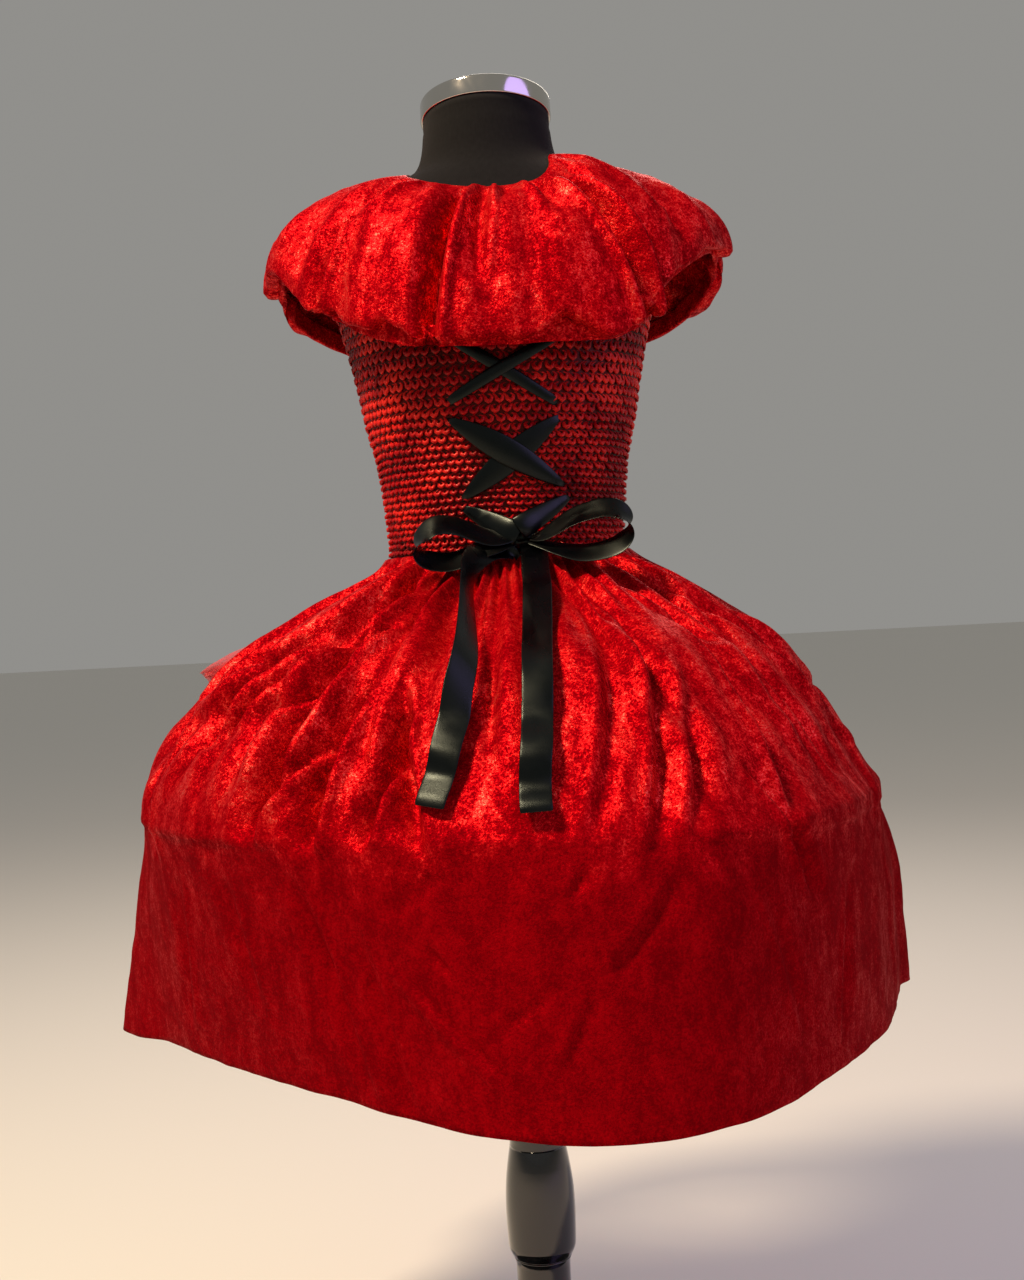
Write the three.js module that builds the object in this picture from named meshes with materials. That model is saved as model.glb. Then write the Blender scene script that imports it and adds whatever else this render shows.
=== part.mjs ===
// Tutu dress on a limbless dress form, seen in millimetres with +Z up.
// The origin is the middle of the stand's foot, on the floor. The back of the dress faces -Y.
// Angles are in degrees, measured round the body from the middle of the back towards +X.
// Heights are above the waist and drops are below it.
import * as THREE from 'three';

// Driving sizes
const waistHeight = 650;        // waist above the floor, with the column set for a small child
const seamGap = 0.3;            // gap between pieces that are sewn, tied or laid together
const crochetWall = 3;          // crochet band with its raised loops
const velvetWall = 1.2;         // crushed velvet, pile and backing
const tulleWall = 1;            // stiff tulle strips, bunched
const satinWall = 1;            // satin ribbon, folded double along its edges
const ribbonWidth = 19;
const bodiceTop = 190;
const bodiceBottom = -9;
const puffDrop = 177;           // drop at which the velvet turns over the edge of the tutu
const skirtDrop = 338;          // length of the profile, stretched to each angle's own hem
const velvetEdge = 104;         // angle of the overskirt's two front edges
const gatherCount = 19;         // gathers across the overskirt
const tulleWaves = 20;          // strips of the outer tulle round the waist
const innerTulleWaves = 12;
const tulleDrop = 200;          // the outer tulle's length
const innerTulleDrop = 172;
const openPuff = 33;            // how far the tutu springs out where the overskirt is open
const collarWaves = 19;         // gathers round the collar
const collarCurl = 5;           // radius of the collar's turned hem
const collarReturn = 12;        // how far the turned hem runs back up inside
const tuckLift = 17;            // the bunched tuck that stands up beside the neck
const tuckAngle = 56;
const tuckSpread = 17;
const neckTilt = 8;             // the neck's cut slopes down to the front
const neckTop = 318;
const capRadius = 48;
const capHeight = 14;
const footRadius = 150;
const footHeight = 15;
const formBottom = -115;

// Dress form: half width and half depth at each height
const formTable = {
  height:    [formBottom, -100, -60, 0, 30, 65, 100, 134, 165, 190, 215, 240, 258, 270, 280, 290, 303, 318],
  halfWidth: [90, 95, 93, 82.5, 84, 88, 96, 103, 110, 117, 123, 118, 96, 74, 55.5, 50, 47.5, 46.5],
  halfDepth: [74, 79, 76, 67, 68, 71, 75, 78, 80, 81, 77, 67, 58, 53, 49, 47, 46.5, 46.5],
};

// Overskirt's dome: share of the way from the waist out to the puff, on the left and the right
const riseTable = {
  drop:  [0, 8, 20, 32, 52, 66, 86, 107, 121, 139, 160, 177],
  left:  [0, 0.04, 0.17, 0.31, 0.48, 0.59, 0.725, 0.817, 0.885, 0.945, 0.985, 1],
  right: [0, 0.06, 0.19, 0.3, 0.46, 0.573, 0.683, 0.755, 0.81, 0.86, 0.93, 1],
};

// Below the puff: share of the way from the puff out to the hem
const fallTable = {
  drop:  [177, 195, 218, 241, 276, 300, 338],
  left:  [0, 0.14, 0.28, 0.43, 0.64, 0.77, 1],
  right: [0, 0.3, 0.6, 0.75, 0.87, 0.93, 1],
};

// Plan of the puff, and of the hem with its drop at each angle
const puffPlan = {
  angle:  [-180, -150, -120, -92, -65, -48, -29, -10, 4, 20, 34, 48, 65, 90, 120, 150, 180],
  radius: [264, 266, 268, 275, 267, 261, 262, 275, 284, 286, 277, 264, 257, 263, 268, 266, 264],
};
const hemPlan = {
  angle:  [-125, -112, -101, -92, -86, -78, -65, -48, -32, -18, -4, 7,
    14, 22, 33, 44, 60, 72, 84, 92, 97, 103, 112, 125],
  radius: [262, 268, 286, 305, 288, 262, 247, 237, 241, 256, 280, 298,
    302, 297, 282, 268, 260, 261, 267, 277, 292, 280, 266, 262],
  drop:   [336, 336, 338, 339, 338, 334, 331, 331, 332, 336, 340, 341,
    341, 340, 340, 338, 338, 337, 337, 337, 338, 338, 336, 336],
};

// Overskirt's largest folds: angle and drop at each end, half width and depth of the trough
const skirtFolds = {
  fromAngle: [-92, -62, -35, -29, -34, -27, -17, -20, -4, 20, 28, 42, 30, 62, 33, -33, -20, 17, 84],
  toAngle:   [-74, -60, -42, -47, -40, -29, -20, -12, -4, 8, 15, 39, 20, 84, 41, -22, -1, 9, 70],
  fromDrop:  [20, 20, 24, 44, 54, 84, 108, 86, 50, 34, 30, 50, 82, 40, 146, 196, 244, 190, 100],
  toDrop:    [150, 120, 66, 96, 172, 176, 172, 178, 130, 172, 180, 172, 176, 176, 222, 332, 320, 248, 210],
  halfWidth: [12, 11, 9, 9, 10, 8, 8, 8, 8, 9, 9, 10, 9, 13, 8, 9, 8, 8, 9],
  depth:     [5, 5, 6, 5, 7, 6, 5, 6, 3, 5, 8, 8, 6, 10, 5, 3, 3, 3, 4],
};

// Collar: the neck edge's height, and the radius and height of the hem
const collarPlan = {
  angle:      [-180, -157, -135, -107, -90, -69, -50, -27, 0, 27,
    37, 50, 65, 76, 90, 105, 122, 140, 160, 180],
  neckHeight: [262, 265, 271, 279, 281, 277, 270, 262, 259, 262,
    265, 270, 276, 279, 281, 279, 273, 268, 264, 262],
  radius:     [120, 130, 150, 174, 166, 143, 134, 128, 118, 129,
    138, 141, 140, 153, 171, 184, 182, 160, 132, 120],
  hemHeight:  [140, 146, 160, 188, 206, 178, 155, 138, 136, 136,
    138, 150, 178, 198, 214, 201, 179, 162, 147, 140],
};

// Collar's largest folds, from the neck (0) to the hem (1)
const collarFolds = {
  neckAngle: [-152, -126, -101, -79, -60, -37, -15, 3, 22, 38, 63, 99, 124, 149, 177],
  hemAngle:  [-148, -124, -104, -67, -60, -33, -12, 8, 43, 51, 60, 101, 127, 147, 175],
  from:      [0, 0.1, 0, 0.1, 0.1, 0, 0, 0, 0.1, 0, 0.2, 0, 0.1, 0, 0],
  to:        [1, 0.9, 1, 1.1, 0.8, 1.1, 0.6, 0.7, 1.1, 1.1, 0.8, 1, 0.9, 1, 0.9],
  halfWidth: [11, 10, 12, 13, 9, 11, 9, 9, 10, 12, 9, 12, 10, 11, 10],
  depth:     [6, 5, 7, 8, 4, 8, 3, 3, 6, 9, 5, 7, 5, 6, 6],
};

// Lacing bands on the bodice, in the order they were threaded: ends, width and layer from the bodice
const lacing = {
  fromX:      [-36, 44, 41, -35.5, -26.5, 45],
  fromHeight: [149, 146, 90, 90.5, 25.5, 32.5],
  toX:        [39.5, -35, -29.5, 42.5, -0.5, 20.5],
  toHeight:   [100.5, 105, 37, 42.5, 15.5, 16],
  width:      [9, 9, 11, 19, 12, 12],
  layer:      [0, 1, 0, 1, 0, 0],
};

// Bow: knot, then the middle line of each loop, and each tail's line down the skirt
const knot = { x: 10, height: 8, halfWidth: 8, halfHeight: 6.8, halfDepth: 6.5 };
const bowTilt = 28;             // the loops lean with their front edge down
const bowLoops = {
  left: {
    x:      [1.5, -20, -42, -57, -62, -50, -24, 1.5],
    height: [11, 17, 20.5, 13, 2, -6, -2, 4.5],
    depth:  [-84, -90, -94, -97, -98, -98, -96, -87],
  },
  right: {
    x:      [18.2, 40, 62, 77, 86, 78, 66, 42, 18.2],
    height: [11, 15.5, 22.5, 24, 14, 0, -6, -4.5, 4],
    depth:  [-84, -89, -92, -94, -94, -94, -93, -91, -87],
  },
};
const bowTails = {
  left: {
    drop:  [4, 12, 24, 36, 57, 78, 96, 108, 120, 130, 138, 147, 155],
    x:     [-4, -15, -23, -25, -25, -26, -31, -34, -38, -41, -44, -47, -50],
    twist: [0, 0, 32, 56, 56, 46, 28, 14, 6, 0, 0, 0, 0],
  },
  right: {
    drop:  [2.6, 12, 24, 36, 57, 75, 93, 108, 122, 134, 144, 153, 161],
    x:     [17.5, 18, 17.5, 17.5, 16, 14.5, 13.5, 12.5, 11.5, 10, 9.2, 9, 9.2],
    twist: [0, 0, 0, 0, 0, 0, 0, 0, 0, 0, 0, 0, 0],
  },
};

// Column: height above the floor and radius of its turned profile
const columnTable = {
  height: [26.3, 60, 130, 137, 165, 209, 224, 250, 534.7],
  radius: [22, 20, 20, 25, 26, 21.5, 18, 17, 17],
};

const group = new THREE.Group();

const velvet = { color: 0xc8060c, roughness: 0.55, metalness: 0 };
const crochet = { color: 0xa80a14, roughness: 0.7, metalness: 0 };
const tulle = { color: 0xb81420, roughness: 0.85, metalness: 0 };
const satin = { color: 0x08080a, roughness: 0.3, metalness: 0 };
const jersey = { color: 0x1b1b1c, roughness: 0.9, metalness: 0 };
const chrome = { color: 0xd0cec8, roughness: 0.12, metalness: 1 };
const lacquer = { color: 0x0a0a0c, roughness: 0.15, metalness: 0 };

function addPiece(name, geometry, finish) {
  const mesh = new THREE.Mesh(geometry, new THREE.MeshStandardMaterial(finish));
  mesh.name = name;
  group.add(mesh);
  return mesh;
}

const radians = THREE.MathUtils.degToRad;

// Value of a table's column at a place, on a smooth curve that doesn't overshoot
function valueAt(places, values, place) {
  const last = places.length - 1;
  if (place <= places[0]) return values[0];
  if (place >= places[last]) return values[last];
  let i = 0;
  while (place > places[i + 1]) i += 1;
  const step = places[i + 1] - places[i];
  const t = (place - places[i]) / step;
  const slope = (k) => (values[k + 1] - values[k]) / (places[k + 1] - places[k]);
  const tangent = (k) => {
    if (k === 0) return slope(0);
    if (k === last) return slope(last - 1);
    const before = slope(k - 1);
    const after = slope(k);
    return before * after <= 0 ? 0 : (2 * before * after) / (before + after);
  };
  const a = values[i];
  const b = values[i + 1];
  const ta = tangent(i) * step;
  const tb = tangent(i + 1) * step;
  const t2 = t * t;
  const t3 = t2 * t;
  return (2 * t3 - 3 * t2 + 1) * a + (t3 - 2 * t2 + t) * ta + (3 * t2 - 2 * t3) * b + (t3 - t2) * tb;
}

function wrapped(angle) {
  return THREE.MathUtils.euclideanModulo(angle + 180, 360) - 180;
}

function spaced(from, to, count) {
  return Array.from({ length: count + 1 }, (_, i) => from + ((to - from) * i) / count);
}

function roundBody(angle, radius, height) {
  const a = radians(angle);
  return new THREE.Vector3(radius * Math.sin(a), -radius * Math.cos(a), waistHeight + height);
}

// Closed wall between an outer and an inner surface, round the body or open at two side edges
function wallBetween(outer, inner, acrossList, alongList, isTube) {
  const columns = acrossList.length;
  const rows = alongList.length;
  const positions = [];
  for (const surface of [outer, inner]) {
    for (const v of alongList) {
      for (const u of acrossList) {
        const point = surface(u, v);
        positions.push(point.x, point.y, point.z);
      }
    }
  }
  const index = [];
  const at = (side, row, column) => side * rows * columns + row * columns + (column % columns);
  const quad = (a, b, c, d) => index.push(a, b, c, a, c, d);
  const spans = isTube ? columns : columns - 1;
  for (let row = 0; row < rows - 1; row += 1) {
    for (let c = 0; c < spans; c += 1) {
      quad(at(0, row, c), at(0, row, c + 1), at(0, row + 1, c + 1), at(0, row + 1, c));
      quad(at(1, row, c), at(1, row + 1, c), at(1, row + 1, c + 1), at(1, row, c + 1));
    }
  }
  for (let c = 0; c < spans; c += 1) {
    quad(at(1, 0, c), at(1, 0, c + 1), at(0, 0, c + 1), at(0, 0, c));
    quad(at(0, rows - 1, c), at(0, rows - 1, c + 1), at(1, rows - 1, c + 1), at(1, rows - 1, c));
  }
  if (!isTube) {
    for (let row = 0; row < rows - 1; row += 1) {
      quad(at(0, row, 0), at(0, row + 1, 0), at(1, row + 1, 0), at(1, row, 0));
      quad(at(1, row, spans), at(1, row + 1, spans), at(0, row + 1, spans), at(0, row, spans));
    }
  }
  return facedOutwards(positions, index);
}

// Solid through rings of points, closed by a fan at each end
function loft(rings) {
  const count = rings[0].length;
  const positions = rings.flat().flatMap((point) => [point.x, point.y, point.z]);
  const index = [];
  for (let row = 0; row < rings.length - 1; row += 1) {
    for (let c = 0; c < count; c += 1) {
      const next = (c + 1) % count;
      const a = row * count + c;
      const b = row * count + next;
      index.push(a, b, b + count, a, b + count, a + count);
    }
  }
  const top = (rings.length - 1) * count;
  for (let c = 1; c < count - 1; c += 1) {
    index.push(0, c + 1, c);
    index.push(top, top + c, top + c + 1);
  }
  return facedOutwards(positions, index);
}

function facedOutwards(positions, index) {
  const point = (i) => new THREE.Vector3().fromArray(positions, 3 * i);
  let volume = 0;
  for (let i = 0; i < index.length; i += 3) {
    volume += point(index[i]).dot(point(index[i + 1]).cross(point(index[i + 2])));
  }
  const faces = volume > 0 ? index : index.toReversed();
  const geometry = new THREE.BufferGeometry();
  geometry.setAttribute('position', new THREE.Float32BufferAttribute(positions, 3));
  geometry.setIndex(faces);
  return geometry;
}

// The same surface, moved along its normal towards the body
function movedIn(surface, distance, stepAcross, stepAlong) {
  return (u, v) => {
    const across = surface(u + stepAcross, v).sub(surface(u - stepAcross, v));
    const along = surface(u, v + stepAlong).sub(surface(u, v - stepAlong));
    const normal = across.cross(along).normalize();
    const far = typeof distance === 'function' ? distance(u, v) : distance;
    return surface(u, v).addScaledVector(normal, far);
  };
}

// Dress form

function formSize(height) {
  return {
    halfWidth: valueAt(formTable.height, formTable.halfWidth, height),
    halfDepth: valueAt(formTable.height, formTable.halfDepth, height),
  };
}

// Radius of the form at an angle and a height, with a layer of some thickness over it
function bodyRadius(angle, height, layer) {
  const size = formSize(height);
  const across = Math.sin(radians(angle)) / (size.halfWidth + layer);
  const back = Math.cos(radians(angle)) / (size.halfDepth + layer);
  return 1 / Math.hypot(across, back);
}

// Point on a layer over the form; the neck's rings slope with its cut
function bodyPoint(turn, height, layer) {
  const size = formSize(height);
  const x = (size.halfWidth + layer) * Math.sin(radians(turn));
  const y = -(size.halfDepth + layer) * Math.cos(radians(turn));
  const slope = Math.tan(radians(neckTilt)) * THREE.MathUtils.smoothstep(height, 284, neckTop);
  return new THREE.Vector3(x, y, waistHeight + height - y * slope);
}

const bodyTurns = spaced(-180, 180, 32).slice(0, -1);
const bodiceHeights = [bodiceBottom, 0, 30, 65, 100, 134, 165, bodiceTop];
const formHeights = [formBottom, -100, -60, -30, ...bodiceHeights,
  215, 240, 258, 270, 280, 290, 303, neckTop];
const formRings = formHeights.map((height) => bodyTurns.map((turn) => bodyPoint(turn, height, 0)));
addPiece('form_torso', loft(formRings), jersey);

// Turned piece from a list of radius and height pairs, standing along +Z
function turned(profile, sides) {
  const geometry = new THREE.LatheGeometry(profile.map((pair) => new THREE.Vector2(...pair)), sides);
  return geometry.rotateX(Math.PI / 2);
}

const capEdge = capRadius - 1.5;
const capRim = capHeight - 1.5;
const capProfile = [[0, 0], [capEdge, 0], [capRadius, 1.5], [capRadius, capRim - 1],
  [capEdge + 0.5, capRim + 0.8], [capEdge - 1, capHeight], [capEdge - 2.5, capRim], [0, capRim]];
const capMesh = addPiece('neck_cap', turned(capProfile, 36), chrome);
capMesh.rotation.x = -radians(neckTilt);
capMesh.position.set(0, 0, waistHeight + neckTop + seamGap / Math.cos(radians(neckTilt)));

const columnPoints = columnTable.height.map((height, i) => [columnTable.radius[i], height]);
const columnProfile = [[0, columnTable.height[0]], ...columnPoints, [0, columnTable.height.at(-1)]];
addPiece('stand_column', turned(columnProfile, 28), lacquer);

const footHub = 32;             // radius of the foot's flat middle, under the column
const footProfile = [[0, 0], [footRadius - 2, 0], [footRadius, 2], [footRadius, footHeight - 5],
  [footRadius - 4, footHeight - 1], [footRadius - 14, footHeight], [70, footHeight + 4],
  [footHub, footHeight + 11], [0, footHeight + 11]];
addPiece('stand_foot', turned(footProfile, 40), lacquer);

// Bodice

const bodiceLayer = seamGap + 0.1 + crochetWall;
const bodiceOutside = (turn, height) => bodyPoint(turn, height, bodiceLayer);
const bodiceInside = (turn, height) => bodyPoint(turn, height, bodiceLayer - crochetWall);
addPiece('bodice', wallBetween(bodiceOutside, bodiceInside, bodyTurns, bodiceHeights, true), crochet);

// Skirts

const velvetStand = 2 * tulleWall + velvetWall + 3 * seamGap;

function shareRight(angle) {
  return (1 + Math.sin(radians(angle))) / 2;
}

// Smooth surface of the overskirt, without folds, which the layers under it share
function skirtRadius(angle, drop) {
  const round = wrapped(angle);
  const right = shareRight(round);
  const waist = bodyRadius(round, -Math.min(drop, 10), bodiceLayer + velvetStand);
  const puff = valueAt(puffPlan.angle, puffPlan.radius, round);
  if (drop <= puffDrop) {
    const rise = valueAt(riseTable.drop, riseTable.left, drop) * (1 - right)
      + valueAt(riseTable.drop, riseTable.right, drop) * right;
    return waist + (puff - waist) * rise;
  }
  const hem = valueAt(hemPlan.angle, hemPlan.radius, round);
  const fall = valueAt(fallTable.drop, fallTable.left, drop) * (1 - right)
    + valueAt(fallTable.drop, fallTable.right, drop) * right;
  return puff + (hem - puff) * fall;
}

function hemStretch(angle, drop) {
  if (drop <= puffDrop) return drop;
  const hemDrop = valueAt(hemPlan.angle, hemPlan.drop, wrapped(angle));
  return puffDrop + ((drop - puffDrop) * (hemDrop - puffDrop)) / (skirtDrop - puffDrop);
}

function gatherHeight(drop) {
  const grows = THREE.MathUtils.smoothstep(drop, 0, 34);
  const fades = 1 - THREE.MathUtils.smoothstep(drop, 70, puffDrop + 20);
  return 0.3 + 3 * grows * fades;
}

// Depth of the gathers and folds at a place on the overskirt, measured inwards
function skirtFoldDepth(angle, drop, radius) {
  const uneven = 0.35 * Math.sin(radians(5 * angle)) + 0.25 * Math.sin(radians(11 * angle + 40));
  const phase = radians((360 * gatherCount * (angle + velvetEdge)) / (2 * velvetEdge)) + uneven;
  let depth = gatherHeight(drop) * (0.5 + 0.5 * Math.cos(phase));
  skirtFolds.fromAngle.forEach((fromAngle, i) => {
    const along = (drop - skirtFolds.fromDrop[i]) / (skirtFolds.toDrop[i] - skirtFolds.fromDrop[i]);
    if (along <= 0 || along >= 1) return;
    const centre = fromAngle + (skirtFolds.toAngle[i] - fromAngle) * along;
    const away = (radians(angle - centre) * radius) / skirtFolds.halfWidth[i];
    depth += skirtFolds.depth[i] * Math.sin(Math.PI * along) ** 0.7 * Math.exp(-away * away);
  });
  return depth;
}

function skirtBase(angle, drop) {
  return roundBody(angle, skirtRadius(angle, drop), -hemStretch(angle, drop));
}

function velvetSurface(angle, drop) {
  const radius = skirtRadius(angle, drop);
  const grooved = radius - skirtFoldDepth(angle, drop, radius);
  return roundBody(angle, grooved, -hemStretch(angle, drop));
}

const velvetAngles = spaced(-velvetEdge, velvetEdge, 4 * gatherCount);
const velvetDrops = [0, 10, 23, 41, 65, 98, 137, puffDrop, 222, 276, skirtDrop];
addPiece('overskirt', wallBetween(velvetSurface, movedIn(velvetSurface, velvetWall, 0.6, 2),
  velvetAngles, velvetDrops, false), velvet);

// The tutu's layers lie under the velvet's deepest folds, and puff out where the front is open
function tulleBase(waves, wave, phase) {
  return (angle, drop) => {
    const round = wrapped(angle);
    const open = openShare(round);
    const settles = 0.6 * THREE.MathUtils.smoothstep(drop, 100, tulleDrop);
    const puffed = THREE.MathUtils.smoothstep(drop, 6, 84) - settles;
    const free = (openPuff - 9 * Math.sin(radians(round))) * puffed * open;
    const grows = THREE.MathUtils.smoothstep(drop, 10, 120);
    const uneven = 0.5 * Math.sin(radians(3 * round)) + 0.4 * Math.sin(radians(7 * round + 60));
    const lift = wave * grows * (0.35 + 0.65 * open) * Math.cos(radians(waves * round + phase) + uneven);
    return roundBody(angle, skirtRadius(round, drop) + free + lift, -drop);
  };
}

// 0 under the overskirt and 1 where its open front leaves the tutu free
function openShare(angle) {
  return THREE.MathUtils.smoothstep(Math.abs(wrapped(angle)), velvetEdge + 1.5, velvetEdge + 10);
}

function foldRoom(drop) {
  return gatherHeight(drop) + 12 * THREE.MathUtils.smoothstep(drop, 12, 66);
}

const outerDepth = (angle, drop) => velvetWall + 2 * seamGap + foldRoom(drop) * (1 - 0.8 * openShare(angle));
const innerDepth = (angle, drop) => velvetWall + tulleWall + 3 * seamGap + 2.2 * foldRoom(drop);
const outerBase = tulleBase(tulleWaves, 7, 0);
const innerBase = tulleBase(innerTulleWaves, 6, 40);
const tulleSkin = (base, depth, wall) => movedIn(base, (angle, drop) => depth(angle, drop) + wall, 1, 2);

const outerDrops = [0.6, 11, 24, 58, 100, 150, tulleDrop];
const innerDrops = [1.2, 12, 26, 66, 115, innerTulleDrop];
const outerAngles = spaced(-180, 180, 4 * tulleWaves).slice(0, -1);
const innerAngles = spaced(-180, 180, 4 * innerTulleWaves).slice(0, -1);
addPiece('tulle_outer', wallBetween(tulleSkin(outerBase, outerDepth, 0),
  tulleSkin(outerBase, outerDepth, tulleWall), outerAngles, outerDrops, true), tulle);
addPiece('tulle_inner', wallBetween(tulleSkin(innerBase, innerDepth, 0),
  tulleSkin(innerBase, innerDepth, tulleWall), innerAngles, innerDrops, true), tulle);

// Collar

function collarNeckHeight(angle) {
  const tuck = Math.exp(-(((angle - tuckAngle) / tuckSpread) ** 2));
  return valueAt(collarPlan.angle, collarPlan.neckHeight, angle) + tuckLift * tuck;
}

function collarFoldDepth(angle, along, radius) {
  const uneven = 0.5 * Math.sin(radians(4 * angle + 20)) + 0.3 * Math.sin(radians(9 * angle));
  const fullness = 0.8 + 1.8 * Math.sin(Math.PI * Math.min(along, 1));
  let depth = fullness * (0.5 + 0.5 * Math.cos(radians(collarWaves * angle) + uneven));
  collarFolds.neckAngle.forEach((neckAngle, i) => {
    const part = (along - collarFolds.from[i]) / (collarFolds.to[i] - collarFolds.from[i]);
    if (part <= 0 || part >= 1) return;
    const centre = neckAngle + (collarFolds.hemAngle[i] - neckAngle) * along;
    const away = (radians(wrapped(angle - centre)) * radius) / collarFolds.halfWidth[i];
    depth += collarFolds.depth[i] * Math.sin(Math.PI * part) ** 0.6 * Math.exp(-away * away);
  });
  return depth;
}

// Along runs 0 at the neck edge, 1 at the widest point of the hem, and past 1 round the turned hem
function collarSurface(angle, along) {
  const round = wrapped(angle);
  const neckHeight = collarNeckHeight(round);
  const neckRadius = bodyRadius(round, neckHeight - velvetWall - seamGap - 0.1, 0) + 3 * seamGap;
  const hemRadius = valueAt(collarPlan.angle, collarPlan.radius, round);
  const turnHeight = valueAt(collarPlan.angle, collarPlan.hemHeight, round) + collarCurl;
  const bend = Math.min(Math.max(along, 0), 1) * (Math.PI / 2);
  const depth = collarFoldDepth(round, along, hemRadius) * Math.min(along * 6, 1);
  let radius = neckRadius + (hemRadius - neckRadius) * Math.sin(bend) - depth * Math.sin(bend);
  let height = neckHeight - (neckHeight - turnHeight) * (1 - Math.cos(bend)) - depth * Math.cos(bend);
  if (along > 1) {
    const curl = Math.min(along - 1, 1) * Math.PI;
    radius -= collarCurl * (1 - Math.cos(curl));
    height -= collarCurl * Math.sin(curl);
    height += Math.max(along - 2, 0) * collarReturn;
  }
  if (along < 0) radius += along * 20;
  return roundBody(round, radius, height);
}

const collarSteps = [0, 0.16, 0.34, 0.52, 0.7, 0.86, 1, 1.5, 2, 3];
const collarAngles = spaced(-180, 180, 4 * collarWaves).slice(0, -1);
addPiece('collar', wallBetween(collarSurface, movedIn(collarSurface, velvetWall, 1, 0.02),
  collarAngles, collarSteps, true), velvet);

// Ribbon

// A strip of ribbon through a row of frames, each with its middle, its width's direction and its face's
function ribbonStrip(frames, width, columns) {
  const rows = frames.map((_, i) => i);
  const across = spaced(-0.5, 0.5, columns);
  const point = (frame, u, out) => frame.middle.clone()
    .addScaledVector(frame.side, u * (frame.width ?? width))
    .addScaledVector(frame.face, out);
  const outer = (u, row) => point(frames[row], u, satinWall);
  const inner = (u, row) => point(frames[row], u, 0);
  return wallBetween(outer, inner, across, rows, false);
}

// Point on the back of the bodice at a distance across and a height
function bodiceBack(x, height, lift) {
  const size = formSize(height);
  const halfWidth = size.halfWidth + bodiceLayer + lift;
  const halfDepth = size.halfDepth + bodiceLayer + lift;
  return new THREE.Vector3(x, -halfDepth * Math.sqrt(1 - (x / halfWidth) ** 2), waistHeight + height);
}

lacing.fromX.forEach((fromX, i) => {
  const lift = seamGap + 0.2 + lacing.layer[i] * (satinWall + seamGap + 0.2);
  const rows = spaced(0, 1, 7);
  const across = spaced(-0.5, 0.5, 2);
  const from = new THREE.Vector2(fromX, lacing.fromHeight[i]);
  const to = new THREE.Vector2(lacing.toX[i], lacing.toHeight[i]);
  const side = to.clone().sub(from).normalize().rotateAround(new THREE.Vector2(), Math.PI / 2);
  const surface = (layer) => (u, v) => {
    const place = from.clone().lerp(to, v).addScaledVector(side, u * lacing.width[i]);
    return bodiceBack(place.x, place.y, layer);
  };
  const band = wallBetween(surface(lift + satinWall), surface(lift), across, rows, false);
  addPiece(`lacing_${i + 1}`, band, satin);
});

const knotMiddle = bodiceBack(knot.x, knot.height, 0);
const knotY = knotMiddle.y - 2 * seamGap - knot.halfDepth;
const knotRings = spaced(-1, 1, 6).map((share) => {
  const level = 0.96 * share;
  const full = Math.sqrt(1 - level * level) ** 0.6;
  return spaced(0, 360, 14).slice(0, -1).map((turn) => new THREE.Vector3(
    knot.x + knot.halfWidth * full * Math.sin(radians(turn)),
    knotY - knot.halfDepth * full * Math.cos(radians(turn)),
    waistHeight + knot.height + knot.halfHeight * share,
  ));
});
addPiece('bow_knot', loft(knotRings), satin);

for (const [side, line] of Object.entries(bowLoops)) {
  const points = line.x.map((x, i) => new THREE.Vector3(x, line.depth[i], waistHeight + line.height[i]));
  const path = new THREE.CatmullRomCurve3(points, false, 'centripetal');
  const lean = new THREE.Vector3(0, -Math.cos(radians(bowTilt)), -Math.sin(radians(bowTilt)));
  const frames = spaced(0, 1, 22).map((t) => {
    const middle = path.getPoint(t);
    const face = path.getTangent(t).cross(lean).normalize();
    return { middle, side: lean, face };
  });
  addPiece(`bow_loop_${side}`, ribbonStrip(frames, ribbonWidth, 1), satin);
}

for (const [side, line] of Object.entries(bowTails)) {
  const skirtPoint = (x, drop) => {
    let angle = 0;
    for (let pass = 0; pass < 6; pass += 1) {
      angle = THREE.MathUtils.radToDeg(Math.asin(x / skirtRadius(angle, drop)));
    }
    return skirtBase(angle, drop);
  };
  const middles = line.drop.map((drop, i) => skirtPoint(line.x[i], drop));
  const path = new THREE.CatmullRomCurve3(middles, false, 'centripetal');
  const frames = middles.map((middle, i) => {
    const drop = line.drop[i];
    const along = path.getTangent(i / (middles.length - 1));
    const across = skirtPoint(line.x[i] + 4, drop).sub(skirtPoint(line.x[i] - 4, drop));
    const out = across.cross(along).normalize().negate();
    if (out.dot(new THREE.Vector3(0, -1, 0)) < 0) out.negate();
    const level = along.clone().cross(out).normalize();
    const twist = radians(line.twist[i]);
    const sideWay = level.clone().multiplyScalar(Math.cos(twist)).addScaledVector(out, Math.sin(twist));
    const face = out.clone().multiplyScalar(Math.cos(twist)).addScaledVector(level, -Math.sin(twist));
    const lift = seamGap + 0.6 + 0.5 * ribbonWidth * Math.sin(twist);
    return { middle: middle.clone().addScaledVector(out, lift), side: sideWay, face };
  });
  addPiece(`bow_tail_${side}`, ribbonStrip(frames, ribbonWidth, 2), satin);
}

export default group;
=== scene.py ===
import math
import random

import bmesh
import bpy
from mathutils import Matrix, Vector, noise


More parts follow.
